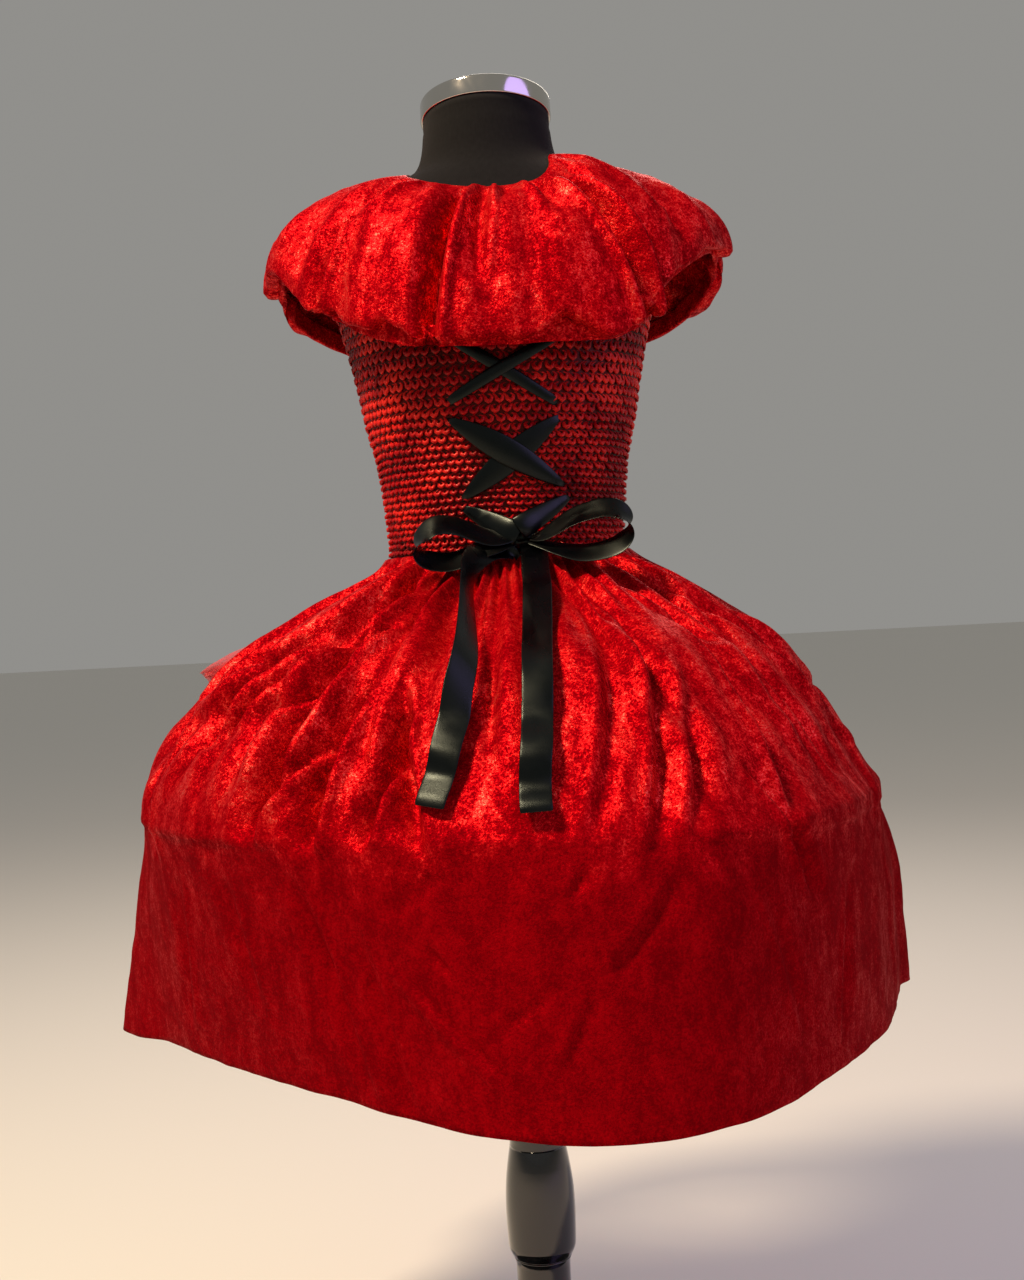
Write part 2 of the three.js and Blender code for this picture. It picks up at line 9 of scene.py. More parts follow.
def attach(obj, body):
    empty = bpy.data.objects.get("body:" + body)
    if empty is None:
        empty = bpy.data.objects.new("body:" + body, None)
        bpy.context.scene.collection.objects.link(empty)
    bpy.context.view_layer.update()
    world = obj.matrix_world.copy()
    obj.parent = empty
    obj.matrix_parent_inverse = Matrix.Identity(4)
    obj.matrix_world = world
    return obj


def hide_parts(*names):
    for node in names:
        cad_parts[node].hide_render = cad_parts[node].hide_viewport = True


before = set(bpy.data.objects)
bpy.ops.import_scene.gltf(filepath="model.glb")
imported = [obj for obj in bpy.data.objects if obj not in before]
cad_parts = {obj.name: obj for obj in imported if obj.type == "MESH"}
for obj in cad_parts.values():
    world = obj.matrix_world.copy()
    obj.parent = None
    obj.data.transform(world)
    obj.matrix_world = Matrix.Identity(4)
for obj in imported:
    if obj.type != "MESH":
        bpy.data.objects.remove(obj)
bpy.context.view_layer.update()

mm = 0.001
waist = 650.0          # waist above the floor, mm

# Camera, at the photograph's angle: level with the skirt's top, turned a little on its own axis
camera = {"place": (0.0, -1.15, 0.603), "pitch": -0.83, "roll": -2.9, "lens": 43.7}
cameraData = bpy.data.cameras.new("camera")
cameraData.lens = camera["lens"]
cameraData.sensor_width = 36
cameraData.clip_start = 0.05
cameraObject = bpy.data.objects.new("camera", cameraData)
bpy.context.scene.collection.objects.link(cameraObject)
cameraObject.matrix_world = (
    Matrix.Translation(camera["place"])
    @ Matrix.Rotation(math.radians(90 + camera["pitch"]), 4, "X")
    @ Matrix.Rotation(math.radians(camera["roll"]), 4, "Z")
)
bpy.context.scene.camera = cameraObject
print("camera placed")


# Small sums

def smoothstep(value, low, high):
    t = min(max((value - low) / (high - low), 0.0), 1.0)
    return t * t * (3 - 2 * t)


def wrapped(angle):
    return (angle + 180) % 360 - 180


def tangents(places, values):
    slopes = [(values[i + 1] - values[i]) / (places[i + 1] - places[i]) for i in range(len(places) - 1)]
    result = [slopes[0]]
    for before, after in zip(slopes, slopes[1:]):
        result.append(0.0 if before * after <= 0 else 2 * before * after / (before + after))
    return result + [slopes[-1]]


# A table column read on a smooth curve that doesn't overshoot
def curveOf(places, values):
    leans = tangents(places, values)
    last = len(places) - 1

    def at(place):
        if place <= places[0]:
            return values[0]
        if place >= places[last]:
            return values[last]
        i = 0
        while place > places[i + 1]:
            i += 1
        step = places[i + 1] - places[i]
        t = (place - places[i]) / step
        t2, t3 = t * t, t * t * t
        return ((2 * t3 - 3 * t2 + 1) * values[i] + (t3 - 2 * t2 + t) * leans[i] * step
                + (3 * t2 - 2 * t3) * values[i + 1] + (t3 - t2) * leans[i + 1] * step)
    return at


def roundBody(angle, radius, height):
    a = math.radians(angle)
    return Vector((radius * math.sin(a), -radius * math.cos(a), waist + height))


# Middle line through points, as a Catmull-Rom curve
def smoothLine(points, count):
    pts = [Vector(p) for p in points]
    pts = [2 * pts[0] - pts[1]] + pts + [2 * pts[-1] - pts[-2]]
    spans = len(pts) - 3
    line = []
    for k in range(count + 1):
        place = min(k / count * spans, spans - 1e-6)
        i = int(place)
        t = place - i
        a, b, c, d = pts[i:i + 4]
        line.append(0.5 * (2 * b + (c - a) * t + (2 * a - 5 * b + 4 * c - d) * t * t
                           + (3 * b - a - 3 * c + d) * t * t * t))
    return line


# Depths below 0 stand out; they ease off towards a limit
def easedOut(depth, limit):
    return depth if depth > 0 else -limit * math.tanh(-depth / limit)


# Soft unevenness: rows of height, size and seed
def bumpSum(point, bumps):
    return sum(high * noise.noise(point / size + Vector((seed, seed * 0.7, -seed)))
               for high, size, seed in bumps)


# Mesh helpers: every piece's place is in its mesh, and its object stays at the origin

def finishMesh(name, bm, material):
    mesh = bpy.data.meshes.new(name)
    for face in bm.faces:
        face.smooth = True
    bm.to_mesh(mesh)
    bm.free()
    piece = bpy.data.objects.new(name, mesh)
    bpy.context.scene.collection.objects.link(piece)
    mesh.materials.append(material)
    return piece


# A grid of cloth bent onto a surface; pointAt takes shares across and along and gives millimetres
def clothGrid(bm, across, along, pointAt, cut, closed=False, outward=None):
    uvLayer = bm.loops.layers.uv.get("cut") or bm.loops.layers.uv.new("cut")
    made = bmesh.ops.create_grid(bm, x_segments=across, y_segments=along, size=0.5, calc_uvs=True)
    verts = made["verts"]
    faces = {face for vert in verts for face in vert.link_faces}
    shares = {vert: (vert.co.x + 0.5, vert.co.y + 0.5) for vert in verts}
    for face in faces:
        for loop in face.loops:
            u, v = shares[loop.vert]
            loop[uvLayer].uv = (u * cut[0] * mm, v * cut[1] * mm)
    for vert, (u, v) in shares.items():
        vert.co = pointAt(u, v) * mm
    faces = list(faces)
    if outward:
        total = 0.0
        for face in faces:
            face.normal_update()
            total += face.normal.dot(outward(face.calc_center_median())) * face.calc_area()
        if total < 0:
            bmesh.ops.reverse_faces(bm, faces=faces)
    if closed:
        bmesh.ops.remove_doubles(bm, verts=verts, dist=1e-6)


def fromAxis(point):
    return Vector((point.x, point.y, 0.0))


def addThickness(piece, thickness, offset=-1.0):
    wall = piece.modifiers.new("wall", "SOLIDIFY")
    wall.thickness = thickness * mm
    wall.offset = offset
    return wall


def addSubdivision(piece, levels):
    modifier = piece.modifiers.new("smooth", "SUBSURF")
    modifier.levels = levels
    modifier.render_levels = levels


# Turned piece: a profile of (radius, height) pairs in millimetres, spun round +Z
def turnedPiece(name, profile, steps, material, place=Matrix.Identity(4)):
    bm = bmesh.new()
    verts = [bm.verts.new((radius * mm, 0, height * mm)) for radius, height in profile]
    edges = [bm.edges.new(pair) for pair in zip(verts, verts[1:])]
    bmesh.ops.spin(bm, geom=verts + edges, cent=(0, 0, 0), axis=(0, 0, 1), angle=2 * math.pi,
                   steps=steps, use_merge=True, use_duplicate=False)
    bmesh.ops.remove_doubles(bm, verts=bm.verts[:], dist=1e-6)
    bmesh.ops.recalc_face_normals(bm, faces=bm.faces[:])
    bmesh.ops.transform(bm, matrix=place, verts=bm.verts[:])
    return finishMesh(name, bm, material)


# Rounds a profile's corners with short arcs
def roundedProfile(corners, steps=4):
    profile = [corners[0][:2]]
    for before, here, after in zip(corners, corners[1:], corners[2:]):
        radius = here[2] if len(here) > 2 else 0
        if not radius:
            profile.append(here[:2])
            continue
        p, a, b = Vector(here[:2]), Vector(before[:2]), Vector(after[:2])
        start = p + (a - p).normalized() * radius
        end = p + (b - p).normalized() * radius
        for k in range(steps + 1):
            t = k / steps
            profile.append(tuple((1 - t) ** 2 * start + 2 * t * (1 - t) * p + t * t * end))
    return profile + [corners[-1][:2]]


# Material helpers

def srgb(code):
    parts = [int(code[i:i + 2], 16) / 255 for i in (1, 3, 5)]
    return tuple(c / 12.92 if c <= 0.04045 else ((c + 0.055) / 1.055) ** 2.4 for c in parts) + (1.0,)


def newMaterial(name):
    material = bpy.data.materials.new(name)
    material.use_nodes = True
    shader = material.node_tree.nodes["Principled BSDF"]
    return material, material.node_tree, shader


# Adds a node, sets its settings and its inputs, each a value or another node's output
def addNode(tree, kind, settings=None, inputs=None):
    node = tree.nodes.new(kind)
    for key, value in (settings or {}).items():
        setattr(node, key, value)
    for key, value in (inputs or {}).items():
        if isinstance(value, bpy.types.NodeSocket):
            tree.links.new(value, node.inputs[key])
        else:
            node.inputs[key].default_value = value
    return node


def colourRamp(tree, factor, stops):
    node = addNode(tree, "ShaderNodeValToRGB", None, {"Fac": factor})
    ramp = node.color_ramp
    while len(ramp.elements) < len(stops):
        ramp.elements.new(0.5)
    for element, (place, colour) in zip(ramp.elements, stops):
        element.position = place
        element.color = srgb(colour)
    return node.outputs["Color"]


# Crushed polyester velvet: a short pile pressed every way, deep red; its glints are painted highlight, salmon
# specks and orange patches in the colour, which also set a metal share that shines where lit.
# Sizes in metres; below the tutu's edge the hanging cloth is painted darker, with fainter painted specks, as
# painted shade, with a ragged change between
velvet = {
    "patchAcross": 0.019, "patchAlong": 0.046, "tufts": 0.006, "speck": 0.0015,
    "shadedBelow": 0.482, "litAbove": 0.54, "raggedness": 0.07,
}


def crushedVelvet():
    material, tree, shader = newMaterial("polyester_velvet_crushed")
    place = addNode(tree, "ShaderNodeTexCoord").outputs["Object"]
    cut = addNode(tree, "ShaderNodeUVMap", {"uv_map": "cut"}).outputs["UV"]
    drawn = addNode(tree, "ShaderNodeMapping", None, {      # patches lie along the gathers
        "Vector": cut, "Scale": (1 / velvet["patchAcross"], 1 / velvet["patchAlong"], 1.0)})
    patch = addNode(tree, "ShaderNodeTexNoise", None, {
        "Vector": drawn.outputs["Vector"], "Scale": 1.0, "Detail": 4.0, "Roughness": 0.62, "Distortion": 0.5})
    speck = addNode(tree, "ShaderNodeTexNoise", None, {
        "Vector": place, "Scale": 1 / velvet["speck"], "Detail": 3.0, "Roughness": 0.8})
    tufts = addNode(tree, "ShaderNodeTexNoise", None, {
        "Vector": place, "Scale": 1 / velvet["tufts"], "Detail": 3.0, "Roughness": 0.7})
    clumps = addNode(tree, "ShaderNodeMath", {"operation": "MULTIPLY_ADD"}, {
        0: patch.outputs["Fac"], 1: 1.25, 2: tufts.outputs["Fac"]})
    mixed = addNode(tree, "ShaderNodeMath", {"operation": "MULTIPLY_ADD"}, {
        0: clumps.outputs[0], 1: 0.7, 2: speck.outputs["Fac"]})
    height = addNode(tree, "ShaderNodeSeparateXYZ", None, {"Vector": place}).outputs["Z"]
    ragged = addNode(tree, "ShaderNodeMath", {"operation": "MULTIPLY_ADD"}, {
        0: patch.outputs["Fac"], 1: velvet["raggedness"], 2: height})
    # painted shade: below the tutu's edge the colour is shifted darker by height, and the speck contrast is
    # cut
    change = {
        "Value": ragged.outputs[0], "From Min": velvet["shadedBelow"], "From Max": velvet["litAbove"]}
    contrast = addNode(tree, "ShaderNodeMapRange", None, {**change, "To Min": 0.16, "To Max": 0.375})
    level = addNode(tree, "ShaderNodeMapRange", None, {**change, "To Min": 0.222, "To Max": 0.0})
    glint = addNode(tree, "ShaderNodeMath", {"operation": "MULTIPLY_ADD"}, {
        0: mixed.outputs[0], 1: contrast.outputs["Result"], 2: level.outputs["Result"]})
    # Colour: the deep reds are the cloth's own patchy tone; the orange and salmon top stops are painted
    # highlight (glints and sheen in the base colour), and they also tint the metal's reflection
    colour = colourRamp(tree, glint.outputs[0], [
        (0.4, "#700008"), (0.48, "#A0020D"), (0.545, "#DC1C1E"), (0.66, "#FF6A58")])
    tree.links.new(colour, shader.inputs["Base Color"])
    metal = addNode(tree, "ShaderNodeMapRange", None, {
        "Value": glint.outputs[0], "From Min": 0.43, "From Max": 0.6, "To Min": 0.08, "To Max": 0.85})
    tree.links.new(metal.outputs["Result"], shader.inputs["Metallic"])
    rough = addNode(tree, "ShaderNodeMapRange", None, {
        "Value": clumps.outputs[0], "From Min": 0.9, "From Max": 1.35, "To Min": 0.48, "To Max": 0.36})
    tree.links.new(rough.outputs["Result"], shader.inputs["Roughness"])
    pile = addNode(tree, "ShaderNodeBump", None, {
        "Height": tufts.outputs["Fac"], "Strength": 0.35, "Distance": 0.002})
    nap = addNode(tree, "ShaderNodeBump", None, {
        "Height": speck.outputs["Fac"], "Strength": 0.6, "Distance": 0.0007,
        "Normal": pile.outputs["Normal"]})
    tree.links.new(nap.outputs["Normal"], shader.inputs["Normal"])
    shader.inputs["Specular IOR Level"].default_value = 0.0
    return material


# Shiny elastic yarn, crocheted
def crochetYarn(name, stops):
    material, tree, shader = newMaterial(name)
    place = addNode(tree, "ShaderNodeTexCoord").outputs["Object"]
    ply = addNode(tree, "ShaderNodeTexNoise", None, {
        "Vector": place, "Scale": 1 / 0.0012, "Detail": 2.0, "Roughness": 0.6})
    worn = addNode(tree, "ShaderNodeTexNoise", None, {
        "Vector": place, "Scale": 1 / 0.035, "Detail": 3.0})
    both = addNode(tree, "ShaderNodeMath", {"operation": "MULTIPLY_ADD"}, {
        0: ply.outputs["Fac"], 1: 0.5, 2: worn.outputs["Fac"]})
    colour = colourRamp(tree, both.outputs[0], stops)
    tree.links.new(colour, shader.inputs["Base Color"])
    bump = addNode(tree, "ShaderNodeBump", None, {
        "Height": ply.outputs["Fac"], "Strength": 0.5, "Distance": 0.0006})
    tree.links.new(bump.outputs["Normal"], shader.inputs["Normal"])
    shader.inputs["Roughness"].default_value = 0.3
    shader.inputs["Specular Tint"].default_value = srgb("#FF8A7A")
    return material


# Double-faced satin ribbon, woven: long floats that shine across, fine ribs along the width
def satinRibbon():
    material, tree, shader = newMaterial("satin_ribbon_woven")
    place = addNode(tree, "ShaderNodeUVMap", {"uv_map": "cut"}).outputs["UV"]
    ribs = addNode(tree, "ShaderNodeTexWave", {"wave_type": "BANDS", "bands_direction": "Y"}, {
        "Vector": place, "Scale": 1 / 0.0011, "Distortion": 0.4, "Detail": 1.0})   # drawn coarser than real
    cloud = addNode(tree, "ShaderNodeTexNoise", None, {"Vector": place, "Scale": 1 / 0.02, "Detail": 2.0})
    colour = colourRamp(tree, cloud.outputs["Fac"], [(0.3, "#010102"), (0.75, "#040506")])
    tree.links.new(colour, shader.inputs["Base Color"])
    rough = addNode(tree, "ShaderNodeMapRange", None, {
        "Value": cloud.outputs["Fac"], "From Min": 0.3, "From Max": 0.7, "To Min": 0.22, "To Max": 0.34})
    tree.links.new(rough.outputs["Result"], shader.inputs["Roughness"])
    bump = addNode(tree, "ShaderNodeBump", None, {
        "Height": ribs.outputs["Fac"], "Strength": 0.12, "Distance": 0.0002})
    tree.links.new(bump.outputs["Normal"], shader.inputs["Normal"])
    shader.inputs["Specular IOR Level"].default_value = 0.38
    shader.inputs["Anisotropic"].default_value = 0.5
    shader.inputs["Specular Tint"].default_value = srgb("#C4D4CC")
    return material


# Stiff nylon tulle, knitted net: clear between threads, denser where it is folded
def tulleNet():
    material, tree, shader = newMaterial("nylon_tulle_knitted_net")
    place = addNode(tree, "ShaderNodeUVMap", {"uv_map": "cut"}).outputs["UV"]
    cells = addNode(tree, "ShaderNodeTexVoronoi", {"feature": "DISTANCE_TO_EDGE"}, {
        "Vector": place, "Scale": 1 / 0.0022})          # drawn coarser than the real 1 mm cells
    net = addNode(tree, "ShaderNodeMapRange", None, {
        "Value": cells.outputs["Distance"], "From Min": 0.05, "From Max": 0.3, "To Min": 0.5, "To Max": 0.2})
    cloud = addNode(tree, "ShaderNodeTexNoise", None, {"Vector": place, "Scale": 1 / 0.03, "Detail": 2.0})
    colour = colourRamp(tree, cloud.outputs["Fac"], [(0.3, "#D8202E"), (0.7, "#F05860")])
    tree.links.new(colour, shader.inputs["Base Color"])
    tree.links.new(net.outputs["Result"], shader.inputs["Alpha"])
    shader.inputs["Roughness"].default_value = 0.6
    shader.inputs["Sheen Weight"].default_value = 0.3
    shader.inputs["Sheen Tint"].default_value = srgb("#FFB0B0")
    return material


# Cotton jersey, knitted and stretched: matt, with fine upright ribs
def jerseyKnit():
    material, tree, shader = newMaterial("cotton_jersey_knitted")
    place = addNode(tree, "ShaderNodeUVMap", {"uv_map": "cut"}).outputs["UV"]
    ribs = addNode(tree, "ShaderNodeTexWave", {"wave_type": "BANDS", "bands_direction": "X"}, {
        "Vector": place, "Scale": 1 / 0.0045, "Distortion": 0.6, "Detail": 2.0, "Detail Scale": 3.0})
    lint = addNode(tree, "ShaderNodeTexNoise", None, {"Vector": place, "Scale": 1 / 0.004, "Detail": 4.0})
    colour = colourRamp(tree, lint.outputs["Fac"], [(0.35, "#050506"), (0.7, "#0C0C0D")])
    tree.links.new(colour, shader.inputs["Base Color"])
    bump = addNode(tree, "ShaderNodeBump", None, {
        "Height": ribs.outputs["Fac"], "Strength": 0.25, "Distance": 0.0003})
    tree.links.new(bump.outputs["Normal"], shader.inputs["Normal"])
    shader.inputs["Roughness"].default_value = 0.92
    shader.inputs["Specular IOR Level"].default_value = 0.2
    shader.inputs["Sheen Weight"].default_value = 0.05
    return material


# Bright chrome plate on pressed steel, polished, with faint fingerprints
def chromePlate():
    material, tree, shader = newMaterial("chrome_plate_polished")
    place = addNode(tree, "ShaderNodeTexCoord").outputs["Object"]
    smear = addNode(tree, "ShaderNodeTexNoise", None, {
        "Vector": place, "Scale": 1 / 0.018, "Detail": 4.0, "Distortion": 0.8})
    rough = addNode(tree, "ShaderNodeMapRange", None, {
        "Value": smear.outputs["Fac"], "From Min": 0.35, "From Max": 0.7, "To Min": 0.07, "To Max": 0.17})
    tree.links.new(rough.outputs["Result"], shader.inputs["Roughness"])
    shader.inputs["Base Color"].default_value = srgb("#C9C5BD")
    shader.inputs["Metallic"].default_value = 1.0
    return material


# Black gloss lacquer sprayed on turned beech: glassy, with a slight orange-peel
def glossLacquer():
    material, tree, shader = newMaterial("beech_gloss_lacquered")
    place = addNode(tree, "ShaderNodeTexCoord").outputs["Object"]
    peel = addNode(tree, "ShaderNodeTexNoise", None, {"Vector": place, "Scale": 1 / 0.005, "Detail": 1.0})
    dust = addNode(tree, "ShaderNodeTexNoise", None, {"Vector": place, "Scale": 1 / 0.05, "Detail": 3.0})
    rough = addNode(tree, "ShaderNodeMapRange", None, {
        "Value": dust.outputs["Fac"], "From Min": 0.35, "From Max": 0.7, "To Min": 0.1, "To Max": 0.2})
    tree.links.new(rough.outputs["Result"], shader.inputs["Roughness"])
    bump = addNode(tree, "ShaderNodeBump", None, {
        "Height": peel.outputs["Fac"], "Strength": 0.06, "Distance": 0.0005})
    tree.links.new(bump.outputs["Normal"], shader.inputs["Normal"])
    shader.inputs["Base Color"].default_value = srgb("#08080A")
    shader.inputs["Coat Weight"].default_value = 0.6
    shader.inputs["Coat Roughness"].default_value = 0.05
    return material


velvetMaterial = crushedVelvet()
yarnMaterial = crochetYarn("elastic_yarn_crocheted", [
    (0.5, "#5E0208"), (0.74, "#A00510"), (0.92, "#E0281F")])
# painted shade: a much darker copy of the yarn, for the tube that shows through the holes between stitches
holeShadeMaterial = crochetYarn("elastic_yarn_painted_shade", [
    (0.5, "#1C0002"), (0.76, "#2E0003"), (0.95, "#420005")])
satinMaterial = satinRibbon()
tulleMaterial = tulleNet()
jerseyMaterial = jerseyKnit()
chromeMaterial = chromePlate()
lacquerMaterial = glossLacquer()
print("materials made")


# Dress form and stand

form = {
    "height": [-115, -100, -60, 0, 30, 65, 100, 134, 165, 190, 215, 240, 258, 270, 280, 290, 303, 318],
    "halfWidth": [90, 95, 93, 82.5, 84, 88, 96, 103, 110, 117, 123, 118, 96, 74, 55.5, 50, 47.5, 46.5],
    "halfDepth": [74, 79, 76, 67, 68, 71, 75, 78, 80, 81, 77, 67, 58, 53, 49, 47, 46.5, 46.5],
    "neckTop": 318, "neckTilt": 8, "capRadius": 48, "capHeight": 14,
}
formWidth = curveOf(form["height"], form["halfWidth"])
formDepth = curveOf(form["height"], form["halfDepth"])


def bodyPoint(turn, height, layer):
    a = math.radians(turn)
    x = (formWidth(height) + layer) * math.sin(a)
    y = -(formDepth(height) + layer) * math.cos(a)
    slope = math.tan(math.radians(form["neckTilt"])) * smoothstep(height, 284, form["neckTop"])
    return Vector((x, y, waist + height - y * slope))


def bodyRadius(angle, height, layer):
    a = math.radians(angle)
    across = math.sin(a) / (formWidth(height) + layer)
    return 1 / math.hypot(across, math.cos(a) / (formDepth(height) + layer))


def torsoPoint(u, v):
    height = form["height"][0] + v * (form["neckTop"] - form["height"][0])
    tuck = 0.7 * math.exp(-((height - 311) / 3.0) ** 2)      # the cover is pinched under the cap's ring
    return bodyPoint(360 * u - 180, height, -0.05 - tuck)


bm = bmesh.new()
clothGrid(bm, 96, 110, torsoPoint, (600, 460), closed=True, outward=fromAxis)
bmesh.ops.holes_fill(bm, edges=[e for e in bm.edges if e.is_boundary], sides=0)
torso = finishMesh("torso_cover", bm, jerseyMaterial)
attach(torso, "root")
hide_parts("form_torso")

tilt = Matrix.Translation((0, 0, (waist + form["neckTop"] + 0.35) * mm)) @ Matrix.Rotation(
    -math.radians(form["neckTilt"]), 4, "X")
capProfile = roundedProfile([
    (0, 0), (form["capRadius"], 0, 1.2), (form["capRadius"], form["capHeight"], 2.2),
    (form["capRadius"] - 3.2, form["capHeight"], 1), (form["capRadius"] - 3.6, form["capHeight"] - 1.6, 0.6),
    (0, form["capHeight"] - 1.2)])
neckCap = turnedPiece("neck_cap_plated", capProfile, 96, chromeMaterial, tilt)
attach(neckCap, "root")
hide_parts("neck_cap")

column = [
    (0, 26.3), (22, 26.3, 1), (22, 34, 2), (20, 37, 1.5), (20, 126, 4), (22.5, 131, 2), (25, 136, 3),
    (25.6, 150, 6), (26, 165, 8), (25.2, 185, 12), (21.8, 207, 10), (20.4, 214, 3), (21.6, 219, 2),
    (20, 224, 2), (17.6, 232, 6), (17, 250, 8), (17, 534.7, 1), (0, 534.7),
]
columnPiece = turnedPiece("column_turned", roundedProfile(column), 72, lacquerMaterial)
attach(columnPiece, "root")
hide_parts("stand_column")

foot = [
    (0, 0), (150, 0, 1.5), (150, 11, 4), (136, 15, 10), (70, 19, 30), (34, 25.8, 6), (32, 26, 0.5), (0, 26),
]
footPiece = turnedPiece("foot_turned", roundedProfile(foot, 6), 120, lacquerMaterial)
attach(footPiece, "root")
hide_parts("stand_foot")
print("dress form and stand made")


# Bodice: a plain stretched tube with crochet loops standing on it

bodice = {"bottom": -9, "top": 190, "layer": 3.4, "rows": 33, "columns": 84, "stand": 1.9}


def bodiceBack(x, height, lift):
    halfWidth = formWidth(height) + bodice["layer"] + lift
    halfDepth = formDepth(height) + bodice["layer"] + lift
    return Vector((x, -halfDepth * math.sqrt(max(1 - (x / halfWidth) ** 2, 0)), waist + height))


def bodiceTube(u, v):
    height = bodice["bottom"] + v * (bodice["top"] - bodice["bottom"])
    return bodyPoint(360 * u - 180, height, bodice["layer"] - 1.6)


bm = bmesh.new()
clothGrid(bm, 96, 20, bodiceTube, (570, 199), closed=True, outward=fromAxis)
# the tube wears the darker yarn: painted shade in the holes between the loops
bodiceBase = finishMesh("bodice_ground", bm, holeShadeMaterial)
addThickness(bodiceBase, 0.8)
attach(bodiceBase, "root")


# One loop of yarn in a 1 x 1 cell: it hangs from the row above, x across and z up
def stitchMesh():
    bm = bmesh.new()
    legs = [(0.24, 1.15), (0.15, 0.78), (0.26, 0.42), (0.5, 0.24), (0.74, 0.42), (0.85, 0.78), (0.76, 1.15)]
    lifts = [-0.6, 0.35, 1.0, 1.2, 1.0, 0.35, -0.6]
    thick = [0.18, 0.2, 0.27, 0.33, 0.27, 0.2, 0.18]
    rings = []
    for k, ((x, z), lift, wide) in enumerate(zip(legs, lifts, thick)):
        before = Vector(legs[max(k - 1, 0)])
        after = Vector(legs[min(k + 1, len(legs) - 1)])
        way = (after - before).normalized()
        side = Vector((way.y, 0, -way.x))
        middle = Vector((x, -lift, z))
        ring = []
        for q in range(4):
            turn = math.pi / 4 + math.pi / 2 * q
            around = side * math.cos(turn) - Vector((0, 2 * math.sin(turn), 0))
            ring.append(bm.verts.new(middle + wide * around))
        rings.append(ring)
    for a, b in zip(rings, rings[1:]):
        for q in range(4):
            bm.faces.new((a[q], a[(q + 1) % 4], b[(q + 1) % 4], b[q]))
    bmesh.ops.recalc_face_normals(bm, faces=bm.faces[:])
    return bm


stitch = finishMesh("bodice_crochet_loops", stitchMesh(), yarnMaterial)
for axis, count in ((0, bodice["columns"]), (2, bodice["rows"])):
    array = stitch.modifiers.new("repeat", "ARRAY")
    array.count = count
    array.use_relative_offset = False
    array.use_constant_offset = True
    array.constant_offset_displace = [1.0 if i == axis else 0.0 for i in range(3)]
bpy.context.view_layer.update()
loops = bpy.data.meshes.new_from_object(stitch.evaluated_get(bpy.context.evaluated_depsgraph_get()))
stitch.modifiers.clear()
stitch.data = loops
rowHeight = curveOf([0, 14, 20, 33], [bodice["bottom"], 60, 94, bodice["top"]])    # rows stretch upwards
for vert in loops.vertices:
    column, row = vert.co.x, vert.co.z
    cell = Vector((math.floor(column + 1e-4), math.floor(min(row, bodice["rows"] - 0.01)), 0))
    wander = noise.noise(cell * 0.83 + Vector((3.1, 7.7, 0)))
    shift = 0.5 * (int(cell.y) % 2) + 0.34 * wander
    height = rowHeight(row) + 1.1 * noise.noise(Vector((column / 9, row / 4, 5.5)))
    stand = bodice["stand"] * (1 + 0.3 * noise.noise(cell * 1.7)) * (1 - 0.3 * smoothstep(height, 80, 130))
    turn = 360 * (column + shift) / bodice["columns"] - 180
    vert.co = bodyPoint(turn, height + 0.9 * wander, bodice["layer"] - 1.7 - vert.co.y * stand) * mm
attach(stitch, "root")
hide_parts("bodice")
print("bodice made,", len(loops.polygons), "faces of crochet")


# Overskirt

skirt = {
    "edge": 104, "puffDrop": 177, "length": 338, "wall": 0.9, "gathers": 19, "fineGathers": 58,
    "stand": 4.1, "columns": 360, "rows": 112, "proud": 7,
    "coarseDepth": 3.2, "middleDepth": 7, "fineDepth": 4.6, "foldScale": 2.1, "creaseScale": 1.8,
    "bumps": [(1.6, 46, 3.0), (0.7, 17, 8.0), (0.25, 6, 1.0)],
    "riseDrop": [0, 8, 20, 32, 52, 66, 86, 107, 121, 139, 160, 177],
    "riseLeft": [0, 0.04, 0.17, 0.31, 0.48, 0.59, 0.725, 0.817, 0.885, 0.945, 0.985, 1],
    "riseRight": [0, 0.06, 0.19, 0.3, 0.46, 0.573, 0.683, 0.755, 0.81, 0.86, 0.93, 1],
    "fallDrop": [177, 195, 218, 241, 276, 300, 338],
    "fallLeft": [0, 0.14, 0.28, 0.43, 0.64, 0.77, 1],
    "fallRight": [0, 0.3, 0.6, 0.75, 0.87, 0.93, 1],
    "puffAngle": [-180, -150, -120, -92, -65, -48, -29, -10, 4, 20, 34, 48, 65, 90, 120, 150, 180],
    "puffRadius": [264, 266, 268, 275, 267, 261, 262, 275, 284, 286, 277, 264, 257, 263, 268, 266, 264],
    "hemAngle": [-125, -112, -101, -92, -86, -78, -65, -48, -32, -18, -4, 7,
                 14, 22, 33, 44, 60, 72, 84, 92, 97, 103, 112, 125],
    "hemRadius": [262, 268, 286, 305, 288, 262, 247, 237, 241, 256, 280, 298,
                  302, 297, 282, 268, 260, 261, 267, 277, 292, 280, 266, 262],
    "hemDrop": [336, 336, 338, 339, 338, 334, 331, 331, 332, 336, 340, 341,
                341, 340, 340, 338, 338, 337, 337, 337, 338, 338, 336, 336],
}
riseLeft = curveOf(skirt["riseDrop"], skirt["riseLeft"])
riseRight = curveOf(skirt["riseDrop"], skirt["riseRight"])
fallLeft = curveOf(skirt["fallDrop"], skirt["fallLeft"])
fallRight = curveOf(skirt["fallDrop"], skirt["fallRight"])
puffRadius = curveOf(skirt["puffAngle"], skirt["puffRadius"])
hemRadius = curveOf(skirt["hemAngle"], skirt["hemRadius"])
hemDrop = curveOf(skirt["hemAngle"], skirt["hemDrop"])

